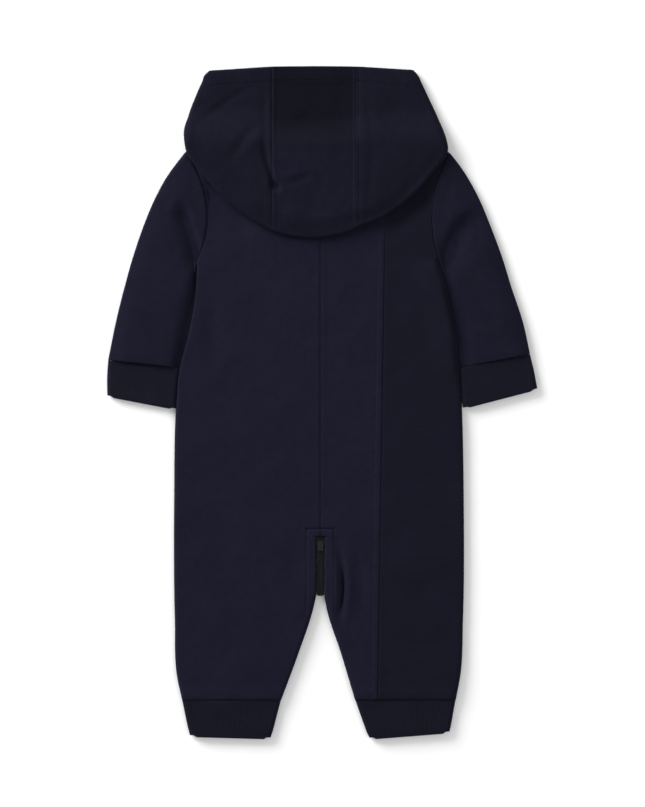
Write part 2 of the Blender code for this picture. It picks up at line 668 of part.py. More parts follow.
def fold_arc(fold, inner, base, top, depth):
    """Points round the hood's outer fold, from its upper cloth to its lower one."""
    away = (fold - inner).normalized()
    radius = (top - base) / 2
    points = []
    for k in range(HOOD_ARC + 1):
        angle = math.pi / 2 - math.pi * k / HOOD_ARC
        spot = fold + away * ((radius - depth) * math.cos(angle) - radius)
        points.append((spot.x, spot.y, base + radius + (radius - depth) * math.sin(angle)))
    return points


def hood_side_rows(side, depth):
    """Rows of the upper cloth and fold, the lower cloth on the floor, and the lower cloth on the back."""
    inwards = 1.0 if side == "left" else -1.0
    seam_x = HOOD_SEAM_X[side] - inwards * SEAM / 2
    rows = HOOD[side]
    border = shoulder_row(side)
    chord_start, chord_end = Vector(border[0][:2]), Vector(border[-1][:2])
    upper, floor, back = [], [], []
    for t in hood_stations():
        fold = Vector((read(rows, "t", "fold_x", t), read(rows, "t", "fold_y", t)))
        seam = Vector((seam_x, read(rows, "t", "seam_y", t)))
        hold = ease((1.0 - t) / SETTLE_SHARE) if t < 1.0 else 0.0
        base = HOOD_BASE * (1.0 - hold)
        arc = fold_arc(fold, seam, base, hood_top(fold.x, fold.y), depth)
        inner_end = Vector(arc[0][:2])
        row = []
        for k in range(HOOD_COLUMNS):
            spot = seam.lerp(inner_end, k / HOOD_COLUMNS)
            row.append((spot.x, spot.y, hood_top(spot.x, spot.y) - depth))
        upper.append(row + arc)
        start = Vector(arc[-1][:2])
        if t <= 1.0:
            end = face_point(side, t)
            line = [arc[-1]]
            for x, y, z in border[1:]:
                part = min(abs((x - chord_start.x) / (chord_end.x - chord_start.x)), 1.0)
                straight = start.lerp(end, part)
                sway = Vector((x, y)) - chord_start.lerp(chord_end, part)
                spot = straight + sway * ease(t)
                line.append((spot.x, spot.y, z * (1.0 - hold) + depth))
            floor.append(line)
        if t >= 1.0:
            end_x = lerp(border[HOOD_UNDER][0], HOOD_NECK_SEAM_X[side] - inwards * SEAM / 2, ease(t - 1.0))
            end = Vector((end_x, back_top(end_x) - NECK_LAP))
            line = [arc[-1]]
            for k in range(1, HOOD_UNDER + 1):
                spot = start.lerp(end, k / HOOD_UNDER)
                line.append((spot.x, spot.y, HOOD_BASE + depth))
            back.append(line)
    back[0] = floor[-1][:HOOD_UNDER + 1]
    return upper, floor, back


def build_hood_side(side):
    def patches_at(depth):
        patches = hood_side_rows(side, depth)
        if side == "left":
            return patches
        return [[row[::-1] for row in rows] for rows in patches]

    wall("hood_" + side, patches_at, FLEECE)


def build_hood_centre():
    """The centre panel: down the upper cloth, round the bottom fold and up under it to the back neck."""
    left_x, right_x = HOOD_SEAM_X["left"] + SEAM / 2, HOOD_SEAM_X["right"] - SEAM / 2
    neck_left, neck_right = HOOD_NECK_SEAM_X["left"] + SEAM / 2, HOOD_NECK_SEAM_X["right"] - SEAM / 2

    def column_at(across, depth):
        arch = 4.0 * across * (1.0 - across)
        x = lerp(left_x, right_x, across)
        column = []
        for t in hood_stations():
            y = lerp(read(HOOD["left"], "t", "seam_y", t), read(HOOD["right"], "t", "seam_y", t), across)
            y += CENTRE_HEM_BOW * arch * (1.0 - t / 2) - HOOD_BOTTOM_BOW * arch * (t / 2) ** 3
            column.append((x, y, hood_top(x, y) - depth))
        fold_y = lerp(HOOD["left"][-1].fold_y, HOOD["right"][-1].fold_y, across) - HOOD_BOTTOM_BOW * arch
        fold = Vector((x, fold_y))
        column += fold_arc(fold, fold + Vector((0.0, 1.0)), HOOD_BASE, hood_top(x, fold_y), depth)
        start = Vector(column[-1][:2])
        end_x = lerp(neck_left, neck_right, across)
        end = Vector((end_x, back_top(end_x) - NECK_LAP))
        for k in range(1, HOOD_UNDER + 1):
            spot = start.lerp(end, k / HOOD_UNDER)
            column.append((spot.x, spot.y, HOOD_BASE + depth))
        return column

    def patches_at(depth):
        return [[column_at(j / CENTRE_COLUMNS, depth) for j in range(CENTRE_COLUMNS + 1)]]

    wall("hood_centre", patches_at, FLEECE)


# ---------------------------------------------------------------- zip

def zip_path():
    """(y, z of the coil's face, outward y, outward z) from the back opening round to the front neck."""
    back_z = BODY_HEIGHT - ZIP_DEPTH_BACK
    radius = (back_z - ZIP_DEPTH_FRONT) / 2
    turn_y, turn_z = CROTCH_Y + radius, ZIP_DEPTH_FRONT + radius
    path = [(ZIP_TOP_Y - SEAM, back_z, 0.0, 1.0), (lerp(ZIP_TOP_Y, turn_y, 0.5), back_z, 0.0, 1.0)]
    for k in range(ZIP_TURN_STEPS + 1):
        angle = math.pi / 2 - math.pi * k / ZIP_TURN_STEPS
        away_y, away_z = -math.cos(angle), math.sin(angle)
        path.append((turn_y + radius * away_y, turn_z + radius * away_z, away_y, away_z))
    end_y = SLIDER_Y - SLIDER_LENGTH / 2 - SEAM
    path += [(lerp(turn_y, end_y, part), ZIP_DEPTH_FRONT, 0.0, -1.0) for part in (0.5, 1.0)]
    return path


def build_zip_strip():
    """Tape with the closed coil standing on it, swept along the path."""
    tape, coil = TAPE_WIDTH / 2, COIL_WIDTH / 2
    section = [(-coil, 0.0), (coil, 0.0), (coil, COIL_THICK), (tape, COIL_THICK),
               (tape, COIL_THICK + TAPE_THICK), (-tape, COIL_THICK + TAPE_THICK),
               (-tape, COIL_THICK), (-coil, COIL_THICK)]
    bm = bmesh.new()
    rings = []
    for y, z, away_y, away_z in zip_path():
        ring = [Vector((CENTRE_X + x, y - away_y * depth, z - away_z * depth)) * MM for x, depth in section]
        rings.append([bm.verts.new(point) for point in ring])
    for first, second in zip(rings, rings[1:]):
        for j in range(len(section)):
            k = (j + 1) % len(section)
            bm.faces.new((first[j], first[k], second[k], second[j]))
    bm.faces.new(rings[0])
    bm.faces.new(rings[-1])
    bmesh.ops.recalc_face_normals(bm, faces=bm.faces)
    mesh = bpy.data.meshes.new("zip_strip")
    bm.to_mesh(mesh)
    bm.free()
    add_object("zip_strip", mesh, ZIP_PLASTIC)


def box_mesh(name, boxes, material):
    """One solid from boxes that share faces, given as (low corner, high corner)."""
    pieces = []
    for k, (low, high) in enumerate(boxes):
        size = [b - a for a, b in zip(low, high)]
        middle = [(a + b) / 2 * MM for a, b in zip(low, high)]
        bm = bmesh.new()
        bmesh.ops.create_cube(bm, size=1.0)
        bmesh.ops.scale(bm, vec=[s * MM for s in size], verts=bm.verts)
        mesh = bpy.data.meshes.new(name)
        bm.to_mesh(mesh)
        bm.free()
        piece = bpy.data.objects.new(name if k == 0 else f"{name}_part_{k}", mesh)
        piece.location = middle
        pieces.append(piece)
    body = pieces[0]
    body.data.materials.append(material)
    garment.objects.link(body)
    for piece in pieces[1:]:
        helpers.objects.link(piece)
        piece.hide_render = True
        piece.display_type = "WIRE"
        join = body.modifiers.new("Join", "BOOLEAN")
        join.operation = "UNION"
        join.object = piece
    return body


def build_stop():
    """The end box of the zip, at the top of the opening in the back."""
    half = STOP_WIDTH / 2
    low = (CENTRE_X - half, STOP_LOW_Y, BODY_HEIGHT - ZIP_DEPTH_BACK + SEAM)
    high = (CENTRE_X + half, STOP_HIGH_Y, BODY_HEIGHT)
    stop = box_mesh("zip_stop", [(low, high)], ZIP_PLASTIC)
    soften = stop.modifiers.new("Soft edges", "BEVEL")
    soften.width = STOP_EDGE * MM
    soften.segments = 1


def build_slider():
    """The slider's body with the loop that the pull tab hangs on, towards the surface it lies on."""
    head_low, head_high = SLIDER_Y - SLIDER_LENGTH / 2, SLIDER_Y + SLIDER_LENGTH / 2
    loop_low, loop_high = SLIDER_Y - LOOP_BEHIND, SLIDER_Y + LOOP_AHEAD
    post_low_z, post_high_z = LOOP_HIGH_Z - LOOP_LAP, SLIDER_BASE + LOOP_LAP

    def box(width, low_y, high_y, low_z, high_z):
        return (CENTRE_X - width / 2, low_y, low_z), (CENTRE_X + width / 2, high_y, high_z)

    box_mesh("zip_slider", [
        box(SLIDER_WIDTH, head_low, head_high, SLIDER_BASE, SLIDER_HEAD),
        box(LOOP_WIDTH, loop_low, loop_high, LOOP_LOW_Z, LOOP_HIGH_Z),
        box(LOOP_POST_WIDTH, loop_low + LOOP_SINK, loop_low + LOOP_POST, post_low_z, post_high_z),
        box(LOOP_POST_WIDTH, loop_high - LOOP_POST, loop_high - LOOP_SINK, post_low_z, post_high_z),
    ], ZIP_METAL)


def build_pull():
    """The tab, with the eye that the loop runs through."""
    half, bar = PULL_WIDTH / 2, PULL_THICK / 2
    pull = box_mesh("zip_pull", [((CENTRE_X - half, SLIDER_Y - PULL_LENGTH, PULL_Z - bar),
                                  (CENTRE_X + half, SLIDER_Y + bar, PULL_Z + bar))], ZIP_METAL)
    eye_mesh = bpy.data.meshes.new("pull_eye")
    bm = bmesh.new()
    bmesh.ops.create_cube(bm, size=1.0)
    bmesh.ops.scale(bm, vec=(EYE_WIDTH * MM, EYE_LENGTH * MM, EYE_CUT * MM), verts=bm.verts)
    bm.to_mesh(eye_mesh)
    bm.free()
    eye = bpy.data.objects.new("pull_eye", eye_mesh)
    eye.location = (CENTRE_X * MM, (SLIDER_Y - bar - EYE_LENGTH / 2) * MM, PULL_Z * MM)
    helpers.objects.link(eye)
    eye.hide_render = True
    eye.display_type = "WIRE"
    cut = pull.modifiers.new("Eye", "BOOLEAN")
    cut.operation = "DIFFERENCE"
    cut.object = eye


# ---------------------------------------------------------------- whole garment

for old in list(bpy.data.objects):
    bpy.data.objects.remove(old, do_unlink=True)
garment = bpy.data.collections.new("Baby hooded onesie")
helpers = bpy.data.collections.new("Cutters")
bpy.context.scene.collection.children.link(garment)
bpy.context.scene.collection.children.link(helpers)

build_body()
for side_name in ("left", "right"):
    build_sleeve(side_name)
    build_sleeve_cuff(side_name)
    build_leg_cuff(side_name)
    build_hood_side(side_name)
build_hood_centre()
build_zip_strip()
build_stop()
build_slider()
build_pull()
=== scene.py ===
# Baby hooded onesie in brushed fleece, laid flat on its front with the hood folded over its back.
# Sizes are in millimetres. Seen from above, x is to the right, y towards the hood and z up.
import math

import bpy
import numpy as np
from mathutils import Matrix, Vector
from mathutils.bvhtree import BVHTree


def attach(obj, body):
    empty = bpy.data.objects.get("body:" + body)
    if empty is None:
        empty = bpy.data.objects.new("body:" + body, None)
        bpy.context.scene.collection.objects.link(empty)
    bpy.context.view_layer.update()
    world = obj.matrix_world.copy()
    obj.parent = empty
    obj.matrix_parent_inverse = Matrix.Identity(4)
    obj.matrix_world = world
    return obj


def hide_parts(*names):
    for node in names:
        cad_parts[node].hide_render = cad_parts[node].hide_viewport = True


mm = 0.001
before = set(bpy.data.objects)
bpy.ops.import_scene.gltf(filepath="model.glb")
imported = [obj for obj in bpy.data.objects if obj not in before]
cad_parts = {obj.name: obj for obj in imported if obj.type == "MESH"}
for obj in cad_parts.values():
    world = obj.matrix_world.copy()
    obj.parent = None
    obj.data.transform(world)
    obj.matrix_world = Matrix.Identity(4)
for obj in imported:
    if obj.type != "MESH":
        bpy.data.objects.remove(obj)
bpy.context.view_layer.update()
bpy.ops.object.select_all(action="DESELECT")
print("frame loaded")

garment = {
    "cloth": 1.8, "ribCloth": 1.4,   # how thick the fleece and the rib are
    "seam": 0.04,                    # the gap between the panels at a seam
    "bodyHeight": 7.0, "sleeveHeight": 6.8, "cuffHeight": 6.0,
    "centreX": -1.4, "neckHalf": 56.4, "shoulderY": 246.0,
    "armpitY": 130.0, "crotchY": -178.0, "legEndY": -274.0,
    "roll": 3.5,                     # folded side edges
    "armRoll": {"left": 1.2, "right": 6.0},      # the body's edges beside the sleeves
    "wave": 0.484,                   # height of the soft unevenness all over
}
outwards = {"left": -1.0, "right": 1.0}
centreX, halfSeam = garment["centreX"], garment["seam"] / 2
halfBody = garment["bodyHeight"] / 2 - halfSeam


# Small maths on whole grids of points.

def lerp(start, end, part):
    return start + (end - start) * part


def ease(value):
    value = np.clip(value, 0.0, 1.0)
    return value * value * (3.0 - 2.0 * value)


def bell(distance, width):
    return np.exp(-(distance / width) ** 2)


def stretch(value, rise, fall):
    # 1 on a stretch and 0 off it; rise and fall each say where they start and how long they take
    return ease((value - rise[0]) / rise[1]) * (1.0 - ease((value - fall[0]) / fall[1]))


def quarterFall(distance, radius):
    # share of the fall left at a distance in from an edge that is rolled over
    return 1.0 - np.sqrt(1.0 - (1.0 - np.clip(distance / radius, 0.0, 1.0)) ** 2)


def readTable(table, key, column, at):
    # a column of a table between its rows, smooth through each row
    keys, values = np.array(table[key], float), np.array(table[column], float)
    order = np.argsort(keys)
    keys, values = keys[order], values[order]
    spans = np.diff(keys)
    steps = np.diff(values) / spans
    slopes = np.concatenate([steps[:1], steps[:1], steps[-1:]])
    if len(keys) > 2:
        middle = (spans[1:] * steps[:-1] + spans[:-1] * steps[1:]) / (spans[:-1] + spans[1:])
        slopes = np.concatenate([steps[:1], middle, steps[-1:]])
    at = np.clip(at, keys[0], keys[-1])
    i = np.clip(np.searchsorted(keys, at, side="right") - 1, 0, len(keys) - 2)
    part = (at - keys[i]) / spans[i]
    bend = part * (1.0 - part) * spans[i]
    pull = (slopes[i] - steps[i]) * (1.0 - part) + (steps[i] - slopes[i + 1]) * part
    return lerp(values[i], values[i + 1], part) + bend * pull


def readPoints(table, key, columns, at):
    return np.stack([readTable(table, key, column, at) for column in columns], axis=1)


def curveThrough(keys, points, at):
    # a smooth curve through a few points, read at any key
    points = np.array(points, float)
    return readPoints({"key": keys, "x": points[:, 0], "y": points[:, 1]}, "key", ("x", "y"), at)


def lengthsAlong(points):
    return np.concatenate([[0.0], np.cumsum(np.linalg.norm(np.diff(points, axis=0), axis=1))])


def smoothLine(points, spacing):
    # a smooth line through a few points, with a point every so many millimetres
    lengths = lengthsAlong(points)
    count = max(2, int(lengths[-1] / spacing) + 1)
    return curveThrough(lengths, points, np.linspace(0.0, lengths[-1], count))


def foldHeight(folds, x, y):
    # troughs and ridges: depth is down, ridges stand on the left and right of the way the path runs,
    # and spread makes the trough wider on its left and right
    height = np.zeros(np.shape(x))
    for fold in folds:
        line = smoothLine(fold["path"], 3.0)
        spread = fold.get("spread", (1.0, 1.0))
        reach = 4.0 * fold["width"] * max(spread)
        low, high = line.min(axis=0) - reach, line.max(axis=0) + reach
        near = (x > low[0]) & (x < high[0]) & (y > low[1]) & (y < high[1])
        if not near.any():
            continue
        spots = np.stack([x[near], y[near]], axis=1)
        best = np.full(len(spots), 1e9)
        side, along = np.zeros(len(spots)), np.zeros(len(spots))
        for k, way in enumerate(np.diff(line, axis=0)):
            length = np.linalg.norm(way)
            part = np.clip((spots - line[k]) @ way / length ** 2, 0.0, 1.0)
            off = spots - line[k] - part[:, None] * way
            distance = np.linalg.norm(off, axis=1)
            closer = distance < best
            best[closer] = distance[closer]
            side[closer] = np.sign(way[0] * off[closer, 1] - way[1] * off[closer, 0])
            along[closer] = (k + part[closer]) / (len(line) - 1)
        fadeIn, fadeOut = fold.get("fade", (0.3, 0.3))
        strength = ease(along / fadeIn) * ease((1.0 - along) / fadeOut)
        across = best / fold["width"]
        profile = -fold["depth"] * bell(across / np.where(side > 0, *spread), 1.0)
        for ridge, onSide in (("left", side > 0), ("right", side < 0)):
            profile += fold.get(ridge, 0.0) * onSide * bell(across - 1.9, 0.9) * ease(across)
        height[near] += strength * profile
    return height


def softWaves(x, y, start):
    # the low, wandering unevenness of cloth that lies on cloth
    height = np.zeros(np.shape(x))
    waves = ((71, 0.4, 0.34), (53, 1.5, 0.3), (37, 2.5, 0.2), (29, 0.9, 0.14), (19, 2.0, 0.08))
    for k, (length, turn, share) in enumerate(waves):
        turned = x * math.cos(turn + start) + y * math.sin(turn + start)
        crossed = y * math.cos(turn + start) - x * math.sin(turn + start)
        bend = 0.9 * np.sin(crossed * 2 * math.pi / (length * 2.3) + start * 3 + k)
        height += share * np.sin(turned * 2 * math.pi / length + bend + 5 * start + k)
    return height * garment["wave"]


def seamRelief(distance, along, stitches, rise=0.35):
    # cloth beside a seam: it stands over the seam allowance as far as the last row of stitches
    height = rise * stretch(distance, (0.0, 1.4), (stitches[-1] - 0.5, 1.6))
    pucker = 0.6 + 0.25 * np.sin(along * 0.9) + 0.25 * np.sin(along * 0.53 + 1.0)
    for row in stitches:
        height -= 0.45 * pucker * bell(distance - row, 0.75)
    return height


# Laying cloth: patches of points are joined, merged and given their thickness.

def layPatch(points):
    rows, columns = points.shape[:2]
    bpy.ops.mesh.primitive_grid_add(x_subdivisions=columns - 1, y_subdivisions=rows - 1, size=0.1)
    patch = bpy.context.object
    patch.data.vertices.foreach_set("co", (points * mm).astype(np.float32).ravel())
    patch.data.update()
    return patch


def addWall(cloth, name, thickness, even):
    wall = cloth.modifiers.new(name, "SOLIDIFY")
    wall.thickness, wall.offset, wall.use_even_offset = thickness * mm, -1.0, even
    bpy.ops.object.modifier_apply(modifier=wall.name)


def finishPiece(piece, node, material):
    piece.data.materials.clear()
    piece.data.materials.append(material)
    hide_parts(node)
    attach(piece, "garment")


def makeCloth(name, patches, material, node,
              thickness=garment["cloth"]):
    bpy.ops.object.select_all(action="DESELECT")
    laid = [layPatch(points) for points in patches]
    for patch in laid:
        patch.select_set(True)
    cloth = laid[0]
    bpy.context.view_layer.objects.active = cloth
    if len(laid) > 1:
        bpy.ops.object.join()
    cloth.name = cloth.data.name = name
    bpy.ops.object.mode_set(mode="EDIT")
    bpy.ops.mesh.select_all(action="SELECT")
    bpy.ops.mesh.remove_doubles(threshold=0.02 * mm)
    bpy.ops.object.mode_set(mode="OBJECT")
    addWall(cloth, "Cloth thickness", thickness, False)
    spots = np.empty(3 * len(cloth.data.vertices), dtype=np.float32)
    cloth.data.vertices.foreach_get("co", spots)
    spots[2::3] = np.maximum(spots[2::3], 0.0)       # nothing below the surface it lies on
    cloth.data.vertices.foreach_set("co", spots)
    bpy.ops.object.shade_smooth_by_angle(angle=math.radians(55.0))
    finishPiece(cloth, node, material)


# Finishes: cloth, knit, plastic and metal, all from noise and bands in millimetres.

class Wire:
    # a node's output that can stand in a sum
    def __init__(self, tree, socket):
        self.tree, self.socket = tree, socket

    def add(self, kind, settings=None, inputs=None, output=0):
        node = self.tree.nodes.new(kind)
        for setting, value in (settings or {}).items():
            setattr(node, setting, value)
        for place, value in (inputs or {}).items():
            if isinstance(value, Wire):
                self.tree.links.new(value.socket, node.inputs[place])
            else:
                node.inputs[place].default_value = value
        return Wire(self.tree, node.outputs[output])

    def maths(self, operation, *values):
        return self.add("ShaderNodeMath", {"operation": operation}, dict(enumerate(values)))

    def __add__(self, other):
        return self.maths("ADD", self, other)

    def __radd__(self, other):
        return self.maths("ADD", other, self)

    def __sub__(self, other):
        return self.maths("SUBTRACT", self, other)

    def __rsub__(self, other):
        return self.maths("SUBTRACT", other, self)

    def __mul__(self, other):
        return self.maths("MULTIPLY", self, other)

    def __truediv__(self, other):
        return self.maths("DIVIDE", self, other)

    def above(self, edge, softness):
        # 0 below an edge and 1 above it, over a soft band
        return self.add("ShaderNodeMapRange", {"interpolation_type": "SMOOTHSTEP"},
                        {"Value": self, "From Min": edge - softness, "From Max": edge + softness})

    def noise(self, place, size, detail=2.0, roughness=0.5):
        # size is the grain in millimetres
        return self.add("ShaderNodeTexNoise", None, {"Vector": place, "Scale": 1.0 / (size * mm),
                                                     "Detail": detail, "Roughness": roughness})

    def bands(self, place, size, distortion, **more):
        # fine stripes across the piece, size is from one to the next in millimetres
        settings = {"wave_type": "BANDS", "bands_direction": "X", "wave_profile": "SIN"}
        perBand = 0.314              # the texture's scale for bands that are one unit apart
        inputs = {"Vector": place, "Scale": perBand / (size * mm), "Distortion": distortion, "Detail": 1.0}
        return self.add("ShaderNodeTexWave", settings, {**inputs, **more}, 1)

    def axis(self, place, number):
        return self.add("ShaderNodeSeparateXYZ", None, {0: place}, number)

    def tint(self, factor, first, second):
        return self.add("ShaderNodeMix", {"data_type": "RGBA"}, {"Factor": factor, 6: first, 7: second}, 2)

    def mottled(self, amount, colour, darker, lighter):
        # noise stays near its middle, so that part of it is spread over the two tones
        noiseLow, noiseSpan = 0.34, 0.32
        return self.tint((amount - noiseLow) / noiseSpan, shade(colour, darker), shade(colour, lighter))


def startFinish(name, roughness, sheen=0.0, sheenTint=(1, 1, 1), metallic=0.0, shine=0.06):
    material = bpy.data.materials.new(name)
    material.use_nodes = True
    tree = material.node_tree
    shader = tree.nodes["Principled BSDF"]
    shader.inputs["Roughness"].default_value = roughness
    shader.inputs["Metallic"].default_value = metallic
    shader.inputs["Sheen Weight"].default_value = sheen
    shader.inputs["Sheen Roughness"].default_value = 0.55
    shader.inputs["Sheen Tint"].default_value = (*sheenTint, 1.0)
    shader.inputs["Specular IOR Level"].default_value = shine
    place = tree.nodes.new("ShaderNodeTexCoord")
    return material, shader, Wire(tree, place.outputs["Object"])


def endFinish(shader, wire, colour, bumpHeight, bumpDepth, roughness=None):
    links = wire.tree.links
    links.new(colour.socket, shader.inputs["Base Color"])
    if roughness is not None:
        links.new(roughness.socket, shader.inputs["Roughness"])
    inputs = {"Height": bumpHeight, "Strength": 1.0, "Distance": bumpDepth * mm}
    links.new(wire.add("ShaderNodeBump", None, inputs).socket, shader.inputs["Normal"])


def shade(colour, amount):
    amounts = amount if isinstance(amount, tuple) else (amount,) * 3
    return (*(value * share for value, share in zip(colour, amounts)), 1.0)


fleeceLook = {
    "colour": (0.0074, 0.00695, 0.0163), "sheen": 0.012, "grain": 1.3, "wale": 1.15,
    # the sleeves are a darker copy of the fleece: painted shade, for the shade that falls on them beside the
    # hood; the hood's side and centre panels are set darker than the body
    "sleeves": 0.885, "hoodSides": (0.68, 0.72, 0.69), "hoodCentre": (0.74, 0.77, 0.78),
}
hoodBand = {                     # the hood's centre panel is darker from the hem down to a soft edge
    "shade": (0.62, 0.63, 0.6), "left": -44.0, "right": 31.6, "from": 240.0, "to": 314.0,
    "tilt": 0.05, "softness": 15.0, "sharp": 0.4, "wander": 6,
}
sideLook = {"colour": (0.0055, 0.0055, 0.0121), "wale": 0.9}
ribLook = {"colour": (0.0059, 0.0059, 0.0122), "wale": 0.7}
zipLook = {"tape": (0.0036, 0.0035, 0.0054), "coil": (0.0062, 0.006, 0.0092), "metal": (0.085, 0.085, 0.09),
           "stop": (0.0045, 0.0047, 0.005)}


def brushedFleece(name, tone=1.0, band=None):
    base = shade(fleeceLook["colour"], tone)[:3]
    material, shader, place = startFinish(name, 0.95, fleeceLook["sheen"], (0.75, 0.78, 1.0))
    nap = place.noise(place, fleeceLook["grain"], 3.0, 0.6)
    patchy = place.noise(place, 34.0, 2.0)
    mottle = place.noise(place, 6.5, 2.0)
    amount = nap * 0.4 + patchy * 0.25 + mottle * 0.35
    colour = place.mottled(amount, base, 0.84, 1.17)
    if band:
        x, y = place.axis(place, 0), place.axis(place, 1)
        level = y + x * band["tilt"] + (patchy - 0.5) * band["wander"] * mm
        inBand = level.above(band["from"] * mm, band["softness"] * mm)
        sharp = band["sharp"] * mm
        inBand = inBand * (1.0 - y.above(band["to"] * mm, sharp))
        inBand = inBand * x.above(band["left"] * mm, sharp) * (1.0 - x.above(band["right"] * mm, sharp))
        colour = place.tint(inBand, colour, place.mottled(amount, shade(base, band["shade"])[:3], 0.86, 1.12))
    wales = place.bands(place, fleeceLook["wale"], 1.6, **{"Detail Scale": 2.0})
    fuzz = place.noise(place, 0.55, 2.0, 0.7)
    endFinish(shader, place, colour, nap * 0.7 + wales * 0.12 + fuzz * 0.35 + mottle * 0.9, 0.34,
              0.88 + nap * 0.12)
    return material


def knitFinish(name, look):
    material, shader, place = startFinish(name, 0.9, 0.01, (0.8, 0.82, 1.0))
    patchy = place.noise(place, 22.0, 2.0)
    grain = place.noise(place, 0.9, 2.0, 0.6)
    colour = place.mottled(patchy * 0.4 + grain * 0.6, look["colour"], 0.86, 1.16)
    wales = place.bands(place, look["wale"], 0.6)
    endFinish(shader, place, colour, wales * 0.3 + grain * 0.5, 0.22, 0.84 + grain * 0.14)
    return material


def plasticFinish(name, colour, roughness, metallic=0.0, depth=0.04, grainSize=0.7):
    material, shader, place = startFinish(name, roughness, 0.0, (1, 1, 1), metallic, 0.2)
    rubbed = place.noise(place, 4.0, 3.0)
    grain = place.noise(place, grainSize, 2.0)
    mixed = place.tint(rubbed * 0.7 + grain * 0.3, shade(colour, 0.75), shade(colour, 1.3))
    endFinish(shader, place, mixed, grain, depth, roughness - 0.1 + rubbed * 0.2)
    return material


fleece = brushedFleece("brushedFleece")
# painted shade: the sleeves get a darker copy of the body's fleece, standing in for the shade beside the hood
sleevePaintedShadeFleece = brushedFleece("sleevePaintedShadeFleece", fleeceLook["sleeves"])
hoodSideFleece = brushedFleece("hoodSideFleece", fleeceLook["hoodSides"])
hoodCentreFleece = brushedFleece("hoodCentreFleece", fleeceLook["hoodCentre"], hoodBand)
sideKnit = knitFinish("sideKnit", sideLook)
ribKnit = knitFinish("ribKnit", ribLook)
zipTape = plasticFinish("zipTape", zipLook["tape"], 0.8, 0.0, 0.08, 0.5)
zipCoil = plasticFinish("zipCoil", zipLook["coil"], 0.42)
darkMetal = plasticFinish("darkMetal", zipLook["metal"], 0.38, 1.0, 0.03)
stopPlastic = plasticFinish("zipStopPlastic", zipLook["stop"], 0.6)
thread = plasticFinish("sewingThread", fleeceLook["colour"], 0.7, 0.0, 0.05, 0.3)
print("finishes made")


# Body: two backs, the knit side panel and two fronts.

bodyOutline = {
    "y": [130.0, 100.0, 60.0, 30.0, 0.0, -90.0, -200.0, -252.0, -274.0],
    "left": [-115.0, -116.6, -123.6, -131.4, -134.2, -136.2, -135.6, -133.6, -129.0],
    "right": [108.0, 113.8, 122.6, 127.1, 128.7, 130.6, 129.9, 127.4, 123.2],
}
inseam = {
    "y": [-178.0, -190.0, -230.0, -274.0],
    "left": [-5.4, -8.1, -21.3, -37.6],
    "right": [2.2, 4.3, 17.2, 30.4],
}
armhole = {
    "left": {"pitX": -115.0, "tipX": -124.8, "tipY": 231.6, "bow": 14.0},
    "right": {"pitX": 108.0, "tipX": 116.6, "tipY": 230.6, "bow": -10.5},
}
body = {
    "spacing": 2.0, "frontSpacing": 3.4,         # between the rows of points
    # how wide and how deep the cloth falls to a seam, on its left and on its right
    "seamEnd": {"left": (1.1, 0.85), "right": (0.5, 0.2)},
    "sideSeamTop": 57.7, "sideSeamFoot": 51.2, "sideStitches": (5.5,),
    "armSeam": {"left": (0.6, 1.4), "right": (1.4, 1.1)}, "edgePuff": {"left": 0.3, "right": 2.6},
    "edgeShift": {"left": 0.0, "right": 3.0},    # the fold beside the sleeve stands a little further out
    "shiftFor": ((40.0, 30.0), (108.0, 20.0)),   # y where that starts and ends, and over how long
    "puffFor": ((12.0, 25.0), (120.0, 14.0)),    # the same for the puff beside the sleeves
    "quietFrom": (146.0, 10.0), "quiet": 0.25,   # the cloth's unevenness is pressed flat under the hood
    "backNeckDrop": 5.0, "backNeckPower": 2.0, "frontNeckDrop": 27.0, "frontNeckPower": 1.5,
    "knitPitch": 2.5, "knitRise": 0.2,
}
zipOpening = {
    "gap": 8.0, "topY": -123.4, "roll": 1.3, "drop": 2.0,
    "stitchLeft": -14.0, "stitchRight": 11.2, "stitchTop": -116.4, "frontStitch": 6.0,
}
bodyFolds = [
    {"path": [(12, -117), (15, -133), (18, -147), (19, -162), (19, -174), (17.5, -190), (13.5, -214)],
     "width": 3.4, "depth": 1.9, "left": 0.5, "right": 0.9, "fade": (0.45, 0.35)},
    {"path": [(18, -148), (19.2, -158), (19.6, -170), (18.6, -182), (16.5, -196)],
     "width": 1.2, "depth": 3.1, "fade": (0.35, 0.3)},
    {"path": [(33, -133), (34, -150), (35.5, -172), (35, -206)], "width": 6.5, "depth": 1.1, "right": 0.35},
    {"path": [(-101, 96), (-102, 74), (-100.5, 50), (-101.5, 24)], "width": 7.0, "depth": 0.8, "right": 0.25},
    {"path": [(-24, -124), (-27, -150), (-31, -180)], "width": 9.0, "depth": 0.45},
    {"path": [(-88, -60), (-92, -110), (-86, -170)], "width": 14.0, "depth": 0.4},
    {"path": [(96, -150), (92, -200), (97, -240)], "width": 12.0, "depth": 0.45},
    {"path": [(-62, 120), (-50, 60), (-54, 10)], "width": 15.0, "depth": 0.4},
    # pressed down below the hood's edge
    {"path": [(-114, 209), (-95, 187), (-76, 169), (-52, 156)], "width": 12.0, "depth": 3.0,
     "fade": (0.25, 0.35)},
    {"path": [(103, 205), (86, 183), (66, 167), (42, 157)], "width": 13.0, "depth": 3.0,
     "fade": (0.25, 0.35)},
]
frontFolds = [
    {"path": [(-86, 110), (-64, 60), (-58, 10)], "width": 7.0, "depth": 0.9, "left": 0.2},
    {"path": [(70, 120), (56, 50), (60, -10)], "width": 8.0, "depth": 0.8, "left": 0.2},
    {"path": [(-30, -120), (-48, -150), (-66, -162)], "width": 5.0, "depth": 1.1},
    {"path": [(26, -116), (44, -148), (64, -158)], "width": 5.5, "depth": 1.0},
    {"path": [(-96, -100), (-92, -170), (-98, -230)], "width": 9.0, "depth": 0.6},
    {"path": [(88, -90), (92, -150), (86, -220)], "width": 9.0, "depth": 0.6},
]


